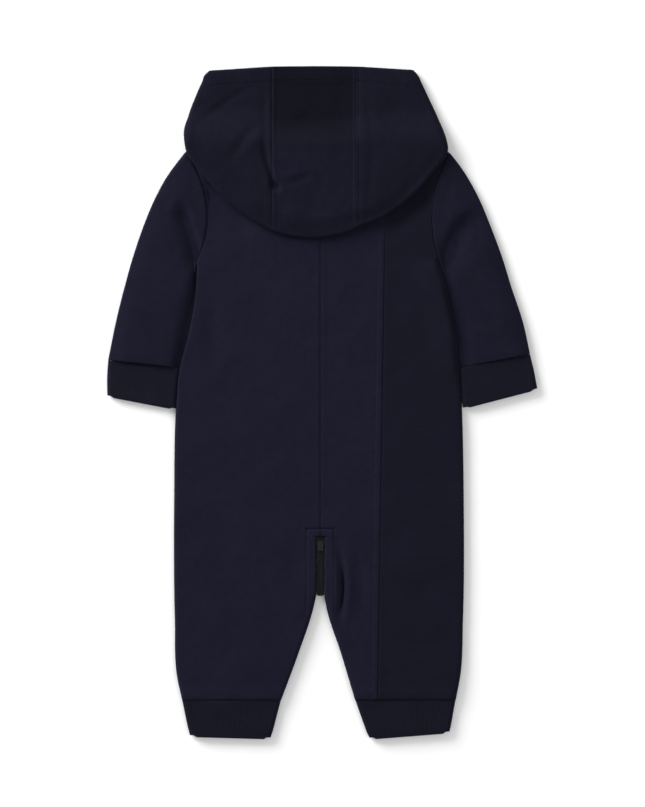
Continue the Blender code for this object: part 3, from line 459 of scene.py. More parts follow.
def armholePoint(side, share):
    # share runs from 0 at the armpit to 1 at the shoulder's tip
    hole = armhole[side]
    x = lerp(hole["pitX"], hole["tipX"], share) + 4.0 * hole["bow"] * share * (1.0 - share)
    return x, lerp(garment["armpitY"], hole["tipY"], share)


def topLine(x, drop, power):
    # the shoulder lines and the neck seam between them
    off = np.abs(x - centreX)
    out = off / garment["neckHalf"]
    neck = garment["shoulderY"] - drop * (1.0 - np.minimum(out, 1.0) ** power)
    left, right = armhole["left"], armhole["right"]
    tipX, tipY = (np.where(x < centreX, left[key], right[key]) for key in ("tipX", "tipY"))
    reach = np.abs(tipX - centreX) - garment["neckHalf"]
    shoulder = lerp(garment["shoulderY"], tipY, (off - garment["neckHalf"]) / reach)
    return np.where(out <= 1.0, neck, shoulder)


def backTop(x):
    return topLine(x, body["backNeckDrop"], body["backNeckPower"])


def frontTop(x):
    return topLine(x, body["frontNeckDrop"], body["frontNeckPower"])


edgeSteps = np.array([0.0, 0.35, 0.8, 1.3, 1.9, 2.7, 3.6])  # rows close together beside an edge


def bodyRows(spacing, backSide):
    # a y for rows below the armpit, and a share of the way to the shoulder for rows above it
    crotch, armpit, legEnd = garment["crotchY"], garment["armpitY"], garment["legEndY"]
    window = zipOpening["topY"]
    legs = legEnd + np.concatenate([edgeSteps, np.arange(5.0, crotch - legEnd - 1.0, spacing)])
    turn = crotch + np.array([-0.6, 0.0, 0.5, 1.1, 1.8, 2.6, 3.5])
    if backSide:
        # close together where the zip opening ends and at the stitches above it
        edge = window + np.array([-1.4, -0.8, -0.4, -0.05, 0.05, 0.3, 0.6, 1.0, 1.5, 2.2])
        seat = np.concatenate([np.arange(turn[-1] + spacing, edge[0] - 0.8, spacing), edge,
                               np.arange(edge[-1] + 0.9, zipOpening["stitchTop"] + 4.0, 0.8)])
    else:
        seat = np.arange(turn[-1] + spacing, window, spacing)
    torso = np.arange(seat[-1] + spacing * 0.9, armpit - 0.8, spacing)
    y = np.concatenate([legs, turn, seat, torso])
    height = armhole["left"]["tipY"] - armpit
    up = np.concatenate([edgeSteps, np.arange(5.0, 44.0, spacing), np.arange(46.0, height - 5.0, spacing * 2),
                         height - edgeSteps[::-1]])
    return {"y": np.concatenate([y, np.full(len(up), armpit)]),
            "share": np.concatenate([np.zeros(len(y)), up / height]),
            "up": np.concatenate([np.zeros(len(y)), up])}


def sideFold(side, y):
    # the body's outer edge, and its way out beside the sleeve
    return readTable(bodyOutline, "y", side, y) + body["edgeShift"][side] * stretch(y, *body["shiftFor"])


def outerEdge(side, rows):
    # an edge is its x, how wide it rolls over and how far it falls
    holeX = armholePoint(side, rows["share"])[0]
    x = np.where(rows["share"] > 0.0, holeX, sideFold(side, rows["y"]))
    atSeam = ease(rows["up"] / 4.0)
    fold = lerp(garment["roll"], garment["armRoll"][side], ease((rows["y"] + 10.0) / 40.0))
    seamRoll, seamDrop = body["armSeam"][side]
    return x - outwards[side] * halfSeam, lerp(fold, seamRoll, atSeam), lerp(halfBody, seamDrop, atSeam)


def middleEdge(side, rows, openTo):
    # the inner leg, then the edge beside the zip as far as openTo, then the centre seam
    y = rows["y"] + rows["up"]
    leg = readTable(inseam, "y", side, y)
    zipEdge = centreX + outwards[side] * zipOpening["gap"] / 2
    seamEdge = centreX + outwards[side] * halfSeam
    closed = y >= openTo
    x = np.where(y <= garment["crotchY"], leg, np.where(closed, seamEdge, zipEdge))
    turned = ease((y - garment["crotchY"]) / garment["roll"])
    radius = lerp(garment["roll"], zipOpening["roll"], turned)
    drop = lerp(halfBody, zipOpening["drop"], turned)
    seamRoll, seamDrop = body["seamEnd"][side]
    return x, np.where(closed, seamRoll, radius), np.where(closed, seamDrop, drop)


def sideSeamX(y):
    share = np.clip((garment["armpitY"] - y) / (garment["armpitY"] - garment["legEndY"]), 0.0, 1.0)
    return lerp(body["sideSeamTop"], body["sideSeamFoot"], share)


def sideSeamEdge(side, rows):
    count = len(rows["y"])
    seamRoll, seamDrop = body["seamEnd"][side]
    x = sideSeamX(rows["y"]) + outwards[side] * halfSeam
    return x, np.full(count, seamRoll), np.full(count, seamDrop)


def panelGrid(rows, left, right, fineLeft, fineRight, middleCount, top):
    # x, y and the fall towards each edge, for every row and column of a panel
    angle = np.linspace(0.0, math.pi / 2, 6)[:-1]
    inwards, fallen = 1.0 - np.cos(angle), 1.0 - np.sin(angle)
    leftX, leftRoll, leftDrop = (value[:, None] for value in left)
    rightX, rightRoll, rightDrop = (value[:, None] for value in right)
    start, end = leftX + leftRoll, rightX - rightRoll
    fineLeft, fineRight = np.array(fineLeft, float), np.array(fineRight, float)
    scale = np.minimum(1.0, 0.9 * (end - start) / (fineLeft[-1] + fineRight[-1] + 0.01))
    nearLeft, nearRight = start + fineLeft * scale, end - fineRight[::-1] * scale
    share = np.linspace(0.0, 1.0, middleCount + 1)[1:-1]
    middle = nearLeft[:, -1:] + (nearRight[:, :1] - nearLeft[:, -1:]) * share
    x = np.concatenate([leftX + leftRoll * inwards, nearLeft, middle, nearRight,
                        rightX - rightRoll * inwards[::-1]], axis=1)
    flat = np.zeros((len(x), nearLeft.shape[1] + middle.shape[1] + nearRight.shape[1]))
    fall = np.concatenate([leftDrop * fallen, flat, rightDrop * fallen[::-1]], axis=1)
    above = (rows["share"] > 0.0)[:, None]
    y = np.where(above, lerp(garment["armpitY"], top(x), rows["share"][:, None]), rows["y"][:, None])
    # beside the armhole the rows meet the sleeve's own
    for side in ("left", "right"):
        holeX, holeY = armholePoint(side, rows["share"][:, None])
        beside = (1.0 - ease(np.abs(x - holeX) / 25.0)) * above
        y = lerp(y, holeY, beside)
    return x, y, fall


def rollEnds(x, y, fall, rows):
    # the shoulder is folded beyond the neck seam, and the leg's end is drawn down to its cuff
    beyondNeck = ease((np.abs(x - centreX) - garment["neckHalf"] + 3.0) / 3.0)
    height = armhole["left"]["tipY"] - garment["armpitY"]
    shoulder = quarterFall((1.0 - rows["share"][:, None]) * height, garment["roll"]) * beyondNeck * halfBody
    legEnd = quarterFall(y - garment["legEndY"], 2.2) * 1.5
    return np.maximum(np.maximum(fall, shoulder), legEnd)


def backRelief(x, y):
    height = foldHeight(bodyFolds, x, y) + softWaves(x, y, 0.3)
    # a low ridge on both sides of the centre seam, and the side seam's own
    height += 0.2 * bell(np.abs(x - centreX) - 3.0, 1.8) * ease((y - zipOpening["stitchTop"]) / 4.0)
    beside = sideSeamX(y) - x
    height += np.where(beside > 0, seamRelief(np.maximum(beside, 0.0), y, body["sideStitches"]), 0.0)
    height += np.where(beside <= 0, 0.25 * bell(-beside - 2.4, 1.6), 0.0)
    # the box of stitches round the zip
    left, right, topY = zipOpening["stitchLeft"], zipOpening["stitchRight"], zipOpening["stitchTop"]
    inside = np.minimum(np.minimum(x - left, right - x), topY - y)
    legs = ease((y - garment["crotchY"] + 26.0) / 20.0)
    groove = 0.5 + 0.7 * bell(topY - y, 1.5)
    height += legs * (0.3 * ease((inside + 0.4) / 1.2) - groove * bell(inside, 0.8))
    # puffed over the cuffs and beside the sleeves, and quiet under the hood
    height += 0.45 * bell(y - garment["legEndY"] - 6.0, 5.0)
    fromLeft = x - readTable(bodyOutline, "y", "left", y)
    fromRight = sideFold("right", y) - x
    besideSleeve = stretch(y, *body["puffFor"])
    puff = body["edgePuff"]
    height += puff["left"] * besideSleeve * (1.0 - ease((fromLeft - 2.0) / 18.0))
    height += puff["right"] * besideSleeve * stretch(fromRight, (-1.0, 6.0), (6.0, 26.0))
    start, span = body["quietFrom"]
    return np.where(height > 0.0, height * lerp(1.0, body["quiet"], ease((y - start) / span)), height)


def windowFall(x, y):
    # the top edge of the zip opening is folded down too
    inWindow = ease((zipOpening["gap"] / 2 + 1.3 - np.abs(x - centreX)) / 1.6)
    edge = quarterFall(y - zipOpening["topY"], zipOpening["roll"]) * (y >= zipOpening["topY"])
    return inWindow * edge * zipOpening["drop"]


def makeBack(name, node, rows, left, right, fineLeft, fineRight, middleCount, knit=False):
    x, y, fall = panelGrid(rows, left, right, fineLeft, fineRight, middleCount, backTop)
    fall = np.maximum(fall, windowFall(x, y))
    fall = rollEnds(x, y, fall, rows)
    relief = backRelief(x, y)
    if knit:
        ribs = np.abs(np.sin(np.pi * y / body["knitPitch"] + 0.5 * np.sin(x / 17.0)))
        relief += body["knitRise"] * (np.sqrt(ribs) - 0.7)
    z = garment["bodyHeight"] + relief * (1.0 - np.clip(fall, 0.0, 1.0)) - fall
    makeCloth(name, [np.stack([x, y, z], axis=2)], sideKnit if knit else fleece, node)


def makeFront(name, node, rows, left, right, fineLeft, fineRight, middleCount):
    x, y, fall = panelGrid(rows, left, right, fineLeft, fineRight, middleCount, frontTop)
    fall = rollEnds(x, y, fall, rows)
    fromZip = np.abs(x - centreX) - zipOpening["gap"] / 2
    lift = np.maximum(0.0, -foldHeight(frontFolds, x, y))
    lift += 0.35 * bell(fromZip - zipOpening["frontStitch"], 0.8)
    z = fall + lift * (1.0 - np.clip(fall, 0.0, 1.0))
    makeCloth(name, [np.stack([x, y, z], axis=2)[:, ::-1]], fleece, node)


def finer(values, shares):
    # more rows between the rows that are there
    return np.append((values[:-1, None] + np.diff(values)[:, None] * shares).ravel(), values[-1])


def makeBody():
    rows = bodyRows(body["spacing"], True)
    openTo = zipOpening["topY"]
    zipSide = np.arange(0.0, 19.0, 0.8)
    seamSide = np.array([0.0, 0.6, 1.4, 2.3, 3.1, 3.7, 4.3, 4.8, 5.3, 5.9, 6.6, 7.4])
    makeBack("backLeftCloth", "back_left", rows, outerEdge("left", rows), middleEdge("left", rows, openTo),
             [0.0], zipSide, 58)
    makeBack("backRightCloth", "back_right", rows, middleEdge("right", rows, openTo),
             sideSeamEdge("left", rows), zipSide, seamSide, 14)
    fineRows = {key: finer(values, np.arange(0.0, 1.0, 0.25)) for key, values in rows.items()}
    makeBack("sidePanelCloth", "back_side", fineRows, sideSeamEdge("right", fineRows),
             outerEdge("right", fineRows), [0.0, 1.2, 2.4], [0.0], 24, True)
    rows = bodyRows(body["frontSpacing"], False)
    toNeck = 999.0                   # the front is open as far as the neck
    beside = np.array([0.0, 1.6, 3.2, 4.2, 5.0, 5.8, 7.0, 9.0])
    makeFront("frontLeftCloth", "front_left", rows, outerEdge("left", rows), middleEdge("left", rows, toNeck),
              [0.0], beside, 34)
    makeFront("frontRightCloth", "front_right", rows, middleEdge("right", rows, toNeck),
              outerEdge("right", rows), beside, [0.0], 34)
    print("body laid")


makeBody()


# Sleeves, folded along the outer edge.

sleeveOutline = {
    "y": [231.6, 208.4, 186.3, 164.2, 134.8, 105.3, 75.9, 39.0],
    "left": [-125.4, -142.6, -154.6, -163.8, -173.9, -182.2, -189.5, -197.0],
    "right": [117.4, 133.4, 145.4, 154.6, 165.6, 174.8, 184.6, 192.8],
}
sleeveEnd = {
    "left": {"outerY": 39.0, "innerY": 32.0, "cuffOuter": (-197.8, 5.2), "cuffInner": (-134.6, -6.9)},
    "right": {"outerY": 44.6, "innerY": 32.0, "cuffOuter": (198.4, 11.6), "cuffInner": (130.0, -6.2)},
}
sleeve = {
    "reach": 205.0,                  # along the sleeve
    "tuck": -0.15, "crown": {"left": 2.3, "right": 2.2}, "headRise": 0.3,
    "seamEnd": {"left": (2.6, 2.0), "right": (1.7, 1.3)},
    # how deep the cloth falls to the fold beside the body, and how wide at the armpit and at the cuff
    "deep": 3.1, "wide": {"left": (17.0, 6.5), "right": (7.0, 3.0)},
}
sleeveFolds = {
    "left": [
        {"path": [(-133, 186), (-127.5, 174), (-121.5, 160), (-117, 143), (-115, 128), (-114.5, 112)],
         "width": 6.6, "depth": 6.2, "spread": (0.7, 1.25), "fade": (0.25, 0.3)},
        {"path": [(-150, 173.5), (-144, 182), (-137.5, 192)], "width": 2.6, "depth": 0.7, "fade": (0.4, 0.4)},
        {"path": [(-166, 120), (-158, 96), (-163, 70)], "width": 9.0, "depth": 0.35},
    ],
    "right": [
        {"path": [(147, 184), (140, 174), (130.5, 165), (122.5, 155), (118, 142), (116.5, 128), (118, 112)],
         "width": 5.6, "depth": 5.4, "spread": (2.6, 1.0), "fade": (0.35, 0.4)},
        {"path": [(139, 178), (142.5, 166), (143.5, 154), (143, 138)], "width": 3.2, "depth": 1.1,
         "spread": (2.5, 1.0), "fade": (0.3, 0.4)},
        {"path": [(152, 110), (158, 84), (156, 64)], "width": 9.0, "depth": 0.35},
    ],
}


def unit(vectors):
    return vectors / np.linalg.norm(vectors, axis=-1, keepdims=True)


def sleeveGrid(side):
    # part runs from 0 at the armhole to 1 at the cuff, and each row goes round the sleeve
    out = outwards[side]
    hole, end = armhole[side], sleeveEnd[side]
    near, edge = edgeSteps / sleeve["reach"], 5.0 / sleeve["reach"]
    part = np.concatenate([near, np.linspace(edge, 1.0 - edge, 92), 1.0 - near[::-1]])
    outerY = lerp(hole["tipY"], end["outerY"], part)
    innerY = lerp(garment["armpitY"], end["innerY"], part)
    outer = np.stack([readTable(sleeveOutline, "y", side, outerY), outerY], axis=1)
    inner = np.stack([sideFold(side, innerY) + out * sleeve["tuck"], innerY], axis=1)
    above, below = (readTable(sleeveOutline, "y", side, outerY + step) for step in (3.0, -3.0))
    outerWay = unit(np.stack([np.full(len(part), -out * 6.0), out * (above - below)], axis=1))
    across = unit(outer - inner)
    square, pit = (part ** 2)[:, None], ((1.0 - part) ** 20)[:, None]
    innerWay = lerp(lerp(np.array([out, 0.0]), across, square), np.array([0.0, 1.0]), pit)
    innerWay, outerWay = unit(innerWay), unit(lerp(outerWay, -across, square))
    roll = garment["roll"]
    angle = np.linspace(0.0, math.pi / 2, 7)[:-1]
    inwards, fallen = roll * (1.0 - np.cos(angle)), 1.0 - np.sin(angle)
    start, finish = inner + innerWay * roll, outer + outerWay * roll
    middle = np.linspace(0.0, 1.0, 34)
    # the first ring follows the armhole seam, and the rings after it bow less and less
    length = hole["tipY"] - garment["armpitY"]
    share = np.concatenate([inwards / length, lerp(roll / length, 1.0 - roll / length, middle),
                            1.0 - inwards[::-1] / length])
    seamX, seamY = armholePoint(side, share)
    seamLine = np.stack([seamX + out * halfSeam, seamY], axis=1)
    flat = start[:, None] + (finish - start)[:, None] * middle[:, None]
    flat = flat + (seamLine[len(angle):-len(angle)] - flat[0]) * ((1.0 - part) ** 2)[:, None, None]
    spots = np.concatenate([inner[:, None] + innerWay[:, None] * inwards[:, None], flat,
                            outer[:, None] + outerWay[:, None] * inwards[::-1, None]], axis=1)
    fall = np.concatenate([fallen, np.zeros(len(middle)), fallen[::-1]])
    spots = lerp(seamLine, spots, (1.0 - (1.0 - np.minimum(part / 0.07, 1.0)) ** 2)[:, None, None])
    x, y = spots[..., 0], spots[..., 1]
    fromSeam = np.linalg.norm(spots - spots[:1], axis=2)
    fromCuff = np.linalg.norm(spots - spots[-1:], axis=2)
    height = lerp(garment["bodyHeight"], garment["sleeveHeight"], np.minimum(part * 8.0, 1.0))[:, None]
    level = np.zeros(len(angle))
    crown = np.concatenate([level, 1.0 - np.abs(2.0 * middle - 1.0) ** 5, level])
    relief = sleeve["crown"][side] * crown * ease(part * 7.0)[:, None] + softWaves(x, y, 1.1)
    relief = relief + foldHeight(sleeveFolds[side], x, y)
    relief += sleeve["headRise"] * stretch(fromSeam, (0.0, 2.5), (4.0, 14.0))
    relief += 0.25 * bell(fromCuff - 6.0, 4.5)
    # the cloth comes down to the fold beside the body
    fromInner = ((spots - start[:, None]) * across[:, None]).sum(axis=2)
    wide = lerp(*sleeve["wide"][side], ease((part - 0.45) / 0.5))[:, None]
    if side == "left":
        valley = np.clip(1.0 - fromInner / wide, 0.0, 1.0) ** 2
    else:
        valley = 1.0 - 0.25 * ease((fromInner - wide) / 9.0) - 0.75 * ease((fromInner - wide) / 48.0)
    relief -= sleeve["deep"] * valley * ease((part - 0.01) / 0.12)[:, None]
    seamRoll, seamDrop = sleeve["seamEnd"][side]
    ends = seamDrop * quarterFall(fromSeam, seamRoll) + 0.7 * quarterFall(fromCuff, 1.8)
    top = height / 2 + (1.0 - fall) * np.maximum(height / 2 + relief - ends, 0.35)
    under = fall * height / 2 + (1.0 - fall) * 0.4 * quarterFall(fromCuff, 2.2)
    upper, lower = np.stack([x, y, top], axis=2), np.stack([x, y, under], axis=2)
    ring = np.concatenate([upper, lower[:, -2:0:-1], upper[:, :1]], axis=1)
    return ring[::-1] if side == "right" else ring[::-1, ::-1]


for side in ("left", "right"):
    makeCloth(f"sleeve{side.capitalize()}Cloth", [sleeveGrid(side)], sleevePaintedShadeFleece, "sleeve_" + side)
print("sleeves laid")


# Cuffs: ribbed tubes, closed at the top by the seam and open at the foot.

legCuff = {
    "left": {"topLeft": -128.8, "topRight": -37.8, "foot": ((-121.8, -308.0), (-47.2, -310.2))},
    "right": {"topLeft": 30.6, "topRight": 123.0, "foot": ((43.4, -310.4), (117.6, -304.6))},
}
rib = {
    "leg": {"pitch": 2.2, "rise": 0.34, "corner": 5.0},
    "sleeve": {"pitch": 1.65, "rise": 0.2, "corner": 4.0},
    "pointsPerRib": 7, "hem": 1.6, "crown": 0.35,
}
cuffFolds = {
    "right": [{"path": [(38, -281), (45, -280), (53, -283.5)], "width": 1.5, "depth": 0.8, "left": 0.4},
              {"path": [(98, -277), (104, -290), (103, -300)], "width": 5.0, "depth": 0.35}],
    "left": [{"path": [(-96, -280), (-92, -292), (-94, -302)], "width": 5.0, "depth": 0.35}],
}


def makeCuff(name, node, spans, look, folds):
    # spans are the (left, right) ends of the tube's top, middle and foot
    down = np.concatenate([[0.0, 0.02, 0.04, 0.07], np.linspace(0.12, 0.92, 14), [0.945, 0.965, 0.985, 1.0]])
    left, right = (curveThrough([0.0, 0.5, 1.0], ends, down) for ends in zip(*spans))
    across = unit(right - left)
    depthDown = down * np.linalg.norm(np.array(spans[2][0]) - np.array(spans[0][0]))
    fromFoot = depthDown[-1] - depthDown
    height = garment["cuffHeight"] * (1.0 - 0.1 * quarterFall(depthDown, 1.5)) \
        - 2 * rib["hem"] * 0.75 * quarterFall(fromFoot, rib["hem"])
    radius = middleZ = garment["cuffHeight"] / 2
    start, finish = left + across * radius, right - across * radius
    width = np.linalg.norm(finish[0] - start[0])
    ribs = int(round(width / look["pitch"]))
    run = np.linspace(0.0, 1.0, ribs * rib["pointsPerRib"] + 1)
    groove = (1.0 - np.sqrt(np.abs(np.sin(np.pi * run * ribs)))) * look["rise"]
    flat = start[:, None] + (finish - start)[:, None] * run[:, None]
    # the foot's corners are worn round
    corner = look["corner"]
    worn = 1.0 - ease((1.0 - np.abs(2.0 * run - 1.0)) * width / (2 * corner))
    flat[..., 1] += worn[None] * ease((down - 0.75) / 0.25)[:, None] * corner * 0.35
    x, y = flat[..., 0], flat[..., 1]
    relief = softWaves(x * 1.5, y * 1.5, 2.2) * 0.8 + foldHeight(folds, x, y)
    relief += rib["crown"] * 4.0 * run * (1.0 - run)
    fade = ease(depthDown / 1.5)[:, None] * lerp(0.4, 1.0, ease(fromFoot / 1.5))[:, None]
    halfHeight = height[:, None] / 2
    top = middleZ + halfHeight + (relief - groove) * fade
    under = middleZ - halfHeight + groove * 0.6 * fade
    angle = np.linspace(0.0, math.pi, 8)[1:-1]

    def turn(centre, way, angles):
        spots = centre[:, None] + way[:, None] * (radius * np.sin(angles))[None, :, None]
        return np.concatenate([spots, (middleZ + halfHeight * np.cos(angles))[..., None]], axis=2)

    ring = [np.stack([x, y, top], axis=2), turn(flat[:, -1], across, angle),
            np.stack([x, y, under], axis=2)[:, ::-1], turn(flat[:, 0], -across, angle[::-1])]
    ring = np.concatenate(ring + [ring[0][:, :1]], axis=1)
    makeCloth(name, [ring[::-1]], ribKnit, node, garment["ribCloth"])


def sleeveCuffSpans(side):
    # the inner side follows the body's edge, half way down too
    end, out = sleeveEnd[side], outwards[side]
    tuck = out * sleeve["tuck"]
    outerTop = (float(readTable(sleeveOutline, "y", side, end["outerY"])), end["outerY"] - 0.1)
    outerFoot = end["cuffOuter"]
    innerTop = (float(readTable(bodyOutline, "y", side, end["innerY"])) + tuck, end["innerY"] - 0.1)
    innerFoot = (end["cuffInner"][0] + tuck, end["cuffInner"][1])
    halfY = lerp(innerTop[1], innerFoot[1], 0.5)
    halfInner = (float(readTable(bodyOutline, "y", side, halfY)) + tuck, halfY)
    halfOuter = (lerp(outerTop[0], outerFoot[0], 0.5) + out * 0.6, lerp(outerTop[1], outerFoot[1], 0.5))
    spans = [(outerTop, innerTop), (halfOuter, halfInner), (outerFoot, innerFoot)]
    return spans if side == "left" else [ends[::-1] for ends in spans]


def legCuffSpans(side):
    cuff, topY = legCuff[side], garment["legEndY"] - 0.1
    corners = list(zip((cuff["topLeft"], cuff["topRight"]), cuff["foot"]))
    return [tuple((lerp(topX, foot[0], share), lerp(topY, foot[1], share)) for topX, foot in corners)
            for share in (0.0, 0.5, 1.0)]


def makeCuffs():
    for side in ("left", "right"):
        name = side.capitalize()
        makeCuff("sleeveCuff" + name, "sleeve_cuff_" + side, sleeveCuffSpans(side), rib["sleeve"], [])
        makeCuff("legCuff" + name, "leg_cuff_" + side, legCuffSpans(side), rib["leg"], cuffFolds[side])
    print("cuffs laid")


makeCuffs()


# Hood: two side panels and a centre panel, folded down over the back.

hoodOutline = {                  # t runs from 0 at the hem to 1 at the shoulder line and 2 at the bottom fold
    "t": [0.0, 0.03, 0.12, 0.4, 0.7, 0.9, 1.0, 1.25, 1.5, 1.75, 2.0],
    "seamY": [309.2, 307.3, 301.5, 284.0, 264.0, 249.0, 238.0, 221.0, 202.0, 184.0, 168.0],
    "leftX": [-103.8, -107.3, -110.0, -116.4, -123.0, -127.2, -125.4, -111.0, -90.0, -66.5, -46.0],
    "leftY": [305.5, 302.4, 296.4, 282.0, 264.0, 246.5, 233.0, 211.4, 187.8, 169.0, 157.6],
    "rightX": [84.4, 87.9, 91.4, 98.4, 107.0, 114.4, 115.9, 104.5, 83.0, 58.5, 34.0],
    "rightY": [306.1, 302.0, 295.0, 280.2, 261.5, 242.5, 233.0, 213.8, 189.6, 171.6, 160.8],
}
hood = {
    "lap": 0.25,                 # the centre panel laps the side panels, so no light shows through
    "hemY": 309.2, "middleX": -6.0, "spacing": 1.7, "foldSteps": 12,
    "base": 7.1, "top": 15.0,    # height of the lower cloth, and of the upper cloth over the back
    # beyond the neck the upper cloth sinks: from which y, over how long and to what height,
    # at the sides and in the middle
    "sinkFrom": (238.0, 236.0), "sinkOver": (34.0, 26.0), "sinkTo": (7.6, 6.4), "middleFor": (20.0, 36.0),
    "seamX": {"left": -46.0, "right": 34.0}, "neckSeamX": {"left": -41.0, "right": 31.0},
    "bottomBow": 7.9, "faceBow": 6.0, "under": 6, "neckColumns": 6,
    "hemStitch": 13.4, "seamStitch": {"left": 4.9, "right": 5.3},
    "pillow": 1.7, "pillowWidth": 17.0, "bottomSink": 1.7,
}
hoodFolds = [
    {"path": [(-60, 293), (-76, 284.5), (-98, 269), (-119, 253)], "width": 3.4, "depth": 0.7,
     "right": 0.1, "fade": (0.25, 0.25)},
    {"path": [(-58, 259.5), (-66.5, 249.5), (-80, 229.5), (-86, 216)], "width": 4.6, "depth": 1.2,
     "left": 0.4, "fade": (0.25, 0.4)},
    {"path": [(-55, 246), (-54, 239), (-51, 223), (-46.5, 208), (-43.5, 197.5)], "width": 2.7, "depth": 2.7,
     "left": 0.3, "fade": (0.3, 0.1)},
    {"path": [(-47.5, 203), (-43, 198.2), (-37, 197.8)], "width": 3.0, "depth": 5.2, "fade": (0.4, 0.4)},
    {"path": [(-34, 201), (-24.8, 203), (-15, 206.5), (-6, 209)], "width": 3.2, "depth": 1.0, "left": 0.3,
     "fade": (0.3, 0.4)},
    {"path": [(41, 284), (43, 262), (46, 245), (45, 215), (42, 178)], "width": 4.0, "depth": 0.45,
     "left": 0.1, "fade": (0.15, 0.2)},
    {"path": [(56, 281), (67, 272), (80, 261)], "width": 3.5, "depth": 0.9, "fade": (0.3, 0.4)},
    {"path": [(-52.5, 290), (-53, 262), (-52, 236)], "width": 2.4, "depth": 0.6, "left": 0.3},
    {"path": [(-98, 225), (-88, 205), (-70, 188)], "width": 8.0, "depth": 0.6},
    {"path": [(88, 236), (84, 212), (68, 194)], "width": 9.0, "depth": 0.7},
    {"path": [(-20, 188), (-4, 178), (14, 181)], "width": 8.0, "depth": 0.6},
    {"path": [(10, 236), (16, 214), (14, 192)], "width": 10.0, "depth": 0.5},
]


def hoodShape(x, y):
    # over the back the hood lies on the body, and beyond the neck it sinks to the surface below
    start, span = hood["middleFor"]
    middle = 1.0 - ease((np.abs(x - hood["middleX"]) - start) / span)
    fromY, over, low = (lerp(*hood[key], middle) for key in ("sinkFrom", "sinkOver", "sinkTo"))
    return lerp(hood["top"], low, ease((y - fromY) / over))


def hoodFloor(x, y):
    # the lowest the cloth may lie, over the body or over the hood's own lower cloth
    middle = 1.0 - ease((np.abs(x - hood["middleX"]) - 34.0) / 10.0)
    clear = y - backTop(x) - lerp(8.0, 1.5, middle)
    return lerp(hood["base"] + 2.0, 2.0, ease(clear / 9.0)) + garment["cloth"] + 0.3


def hoodHeight(x, y, relief):
    # a soft maximum of the two
    free, least = hoodShape(x, y) + relief, hoodFloor(x, y)
    return np.maximum((free + least + np.sqrt((free - least) ** 2 + 0.5)) / 2 - 0.05, least)


def hoodRelief(x, y, fromHem):
    height = foldHeight(hoodFolds, x, y) + softWaves(x, y, 0.7) * 1.3
    # the hem is turned under and stitched
    band = hood["hemStitch"]
    height += 0.45 * (1.0 - ease((fromHem - band + 0.6) / 1.4))
    pucker = 0.7 + 0.3 * np.sin(x * 0.8) + 0.2 * np.sin(x * 0.47 + 2.0)
    height -= 0.4 * pucker * bell(fromHem - band, 0.85)
    height -= 1.9 * quarterFall(fromHem, 1.7)
    for side in ("left", "right"):
        beside = (hood["seamX"][side] - x) * outwards[side]
        raised = seamRelief(np.abs(beside), y, (hood["seamStitch"][side],), 0.22)
        height += np.where(beside >= 0.0, raised, 0.0)
        height += np.where(beside < 0.0, 0.25 * bell(beside + 4.0, 2.6), 0.0)
        height -= np.where(x < hood["seamX"][side], 0.65 * quarterFall(np.abs(beside), 1.3),
                           0.3 * quarterFall(np.abs(beside), 0.8))
    # the centre panel lies lower between the hem and the neck
    inCentre = ease((x - hood["seamX"]["left"]) / 4.0) * ease((hood["seamX"]["right"] - x) / 4.0)
    height -= 0.35 * inCentre * ease((y - 236.0) / 10.0) * ease((295.0 - y) / 2.0)
    return height


def hoodStations():
    # a t for every row, close together at the hem and its stitches
    dense = np.linspace(0.0, 2.0, 2001)
    down = hood["hemY"] - readTable(hoodOutline, "t", "seamY", dense)
    shoulder = float(np.interp(1.0, dense, down))
    band, spacing = hood["hemStitch"], hood["spacing"]
    stops = np.concatenate([
        [0.0, 0.3, 0.7, 1.2, 1.8, 2.6], np.arange(4.0, band - 2.0, spacing),
        band + np.array([-1.6, -1.0, -0.5, 0.0, 0.5, 1.0, 1.7, 2.6]),
        np.linspace(band + 4.0, shoulder, int((shoulder - band - 4.0) / spacing)),
        np.linspace(shoulder, down[-1], int((down[-1] - shoulder) / spacing))[1:]])
    t = np.interp(stops, down, dense)
    t[np.argmin(np.abs(t - 1.0))] = 1.0
    return t


def bottomSink(foldX):
    # how much lower the cloth lies beside the outer fold, most of all at the bottom
    return hood["pillow"] + hood["bottomSink"] * bell(foldX - hood["middleX"], 34.0)


def shoulderBorder(side):
    # where the hood's lower cloth crosses the shoulder and then follows the front neck seam
    out, half = outwards[side], garment["neckHalf"]
    edge = float(readTable(hoodOutline, "t", side + "X", 1.0)) - out * hood["top"] / 4
    gate = centreX + out * (half + 7.0)
    x = np.linspace(edge, gate, hood["under"] + 1)
    points = [np.stack([x, backTop(x) + 0.6, np.full(len(x), hood["base"])], axis=1)]
    points.append(np.array([[centreX + out * (half + 1.0), garment["shoulderY"] + 3.0, 1.2]]))
    x = np.linspace(centreX + out * half, centreX + out * zipOpening["gap"] / 2, hood["neckColumns"] + 1)[1:]
    x = np.append(x, centreX + out * halfSeam)
    points.append(np.stack([x, frontTop(x) + 0.1, np.zeros(len(x))], axis=1))
    return np.concatenate(points)


def foldArc(fold, away, base, top):
    # points round the outer fold, from the upper cloth to the lower
    radius = ((top - base) / 2)[:, None]
    angle = np.linspace(math.pi / 2, -math.pi / 2, hood["foldSteps"] + 1)
    spots = fold[:, None] + away[:, None] * (radius * (np.cos(angle) - 1.0))[..., None]
    z = base[:, None] + radius + radius * np.sin(angle)
    return np.concatenate([spots, z[..., None]], axis=2)


def upperCloth(x, y, fromHem, fromFold, top, sink):
    pillow = sink[:, None] * (1.0 - ease(fromFold / hood["pillowWidth"]))
    relief = hoodRelief(x, y, fromHem) * ease(fromFold / 5.0 + 0.12) - pillow
    z = lerp(top[:, None], hoodHeight(x, y, relief), ease(fromFold / 4.0))
    return np.stack([x, y, z], axis=2)


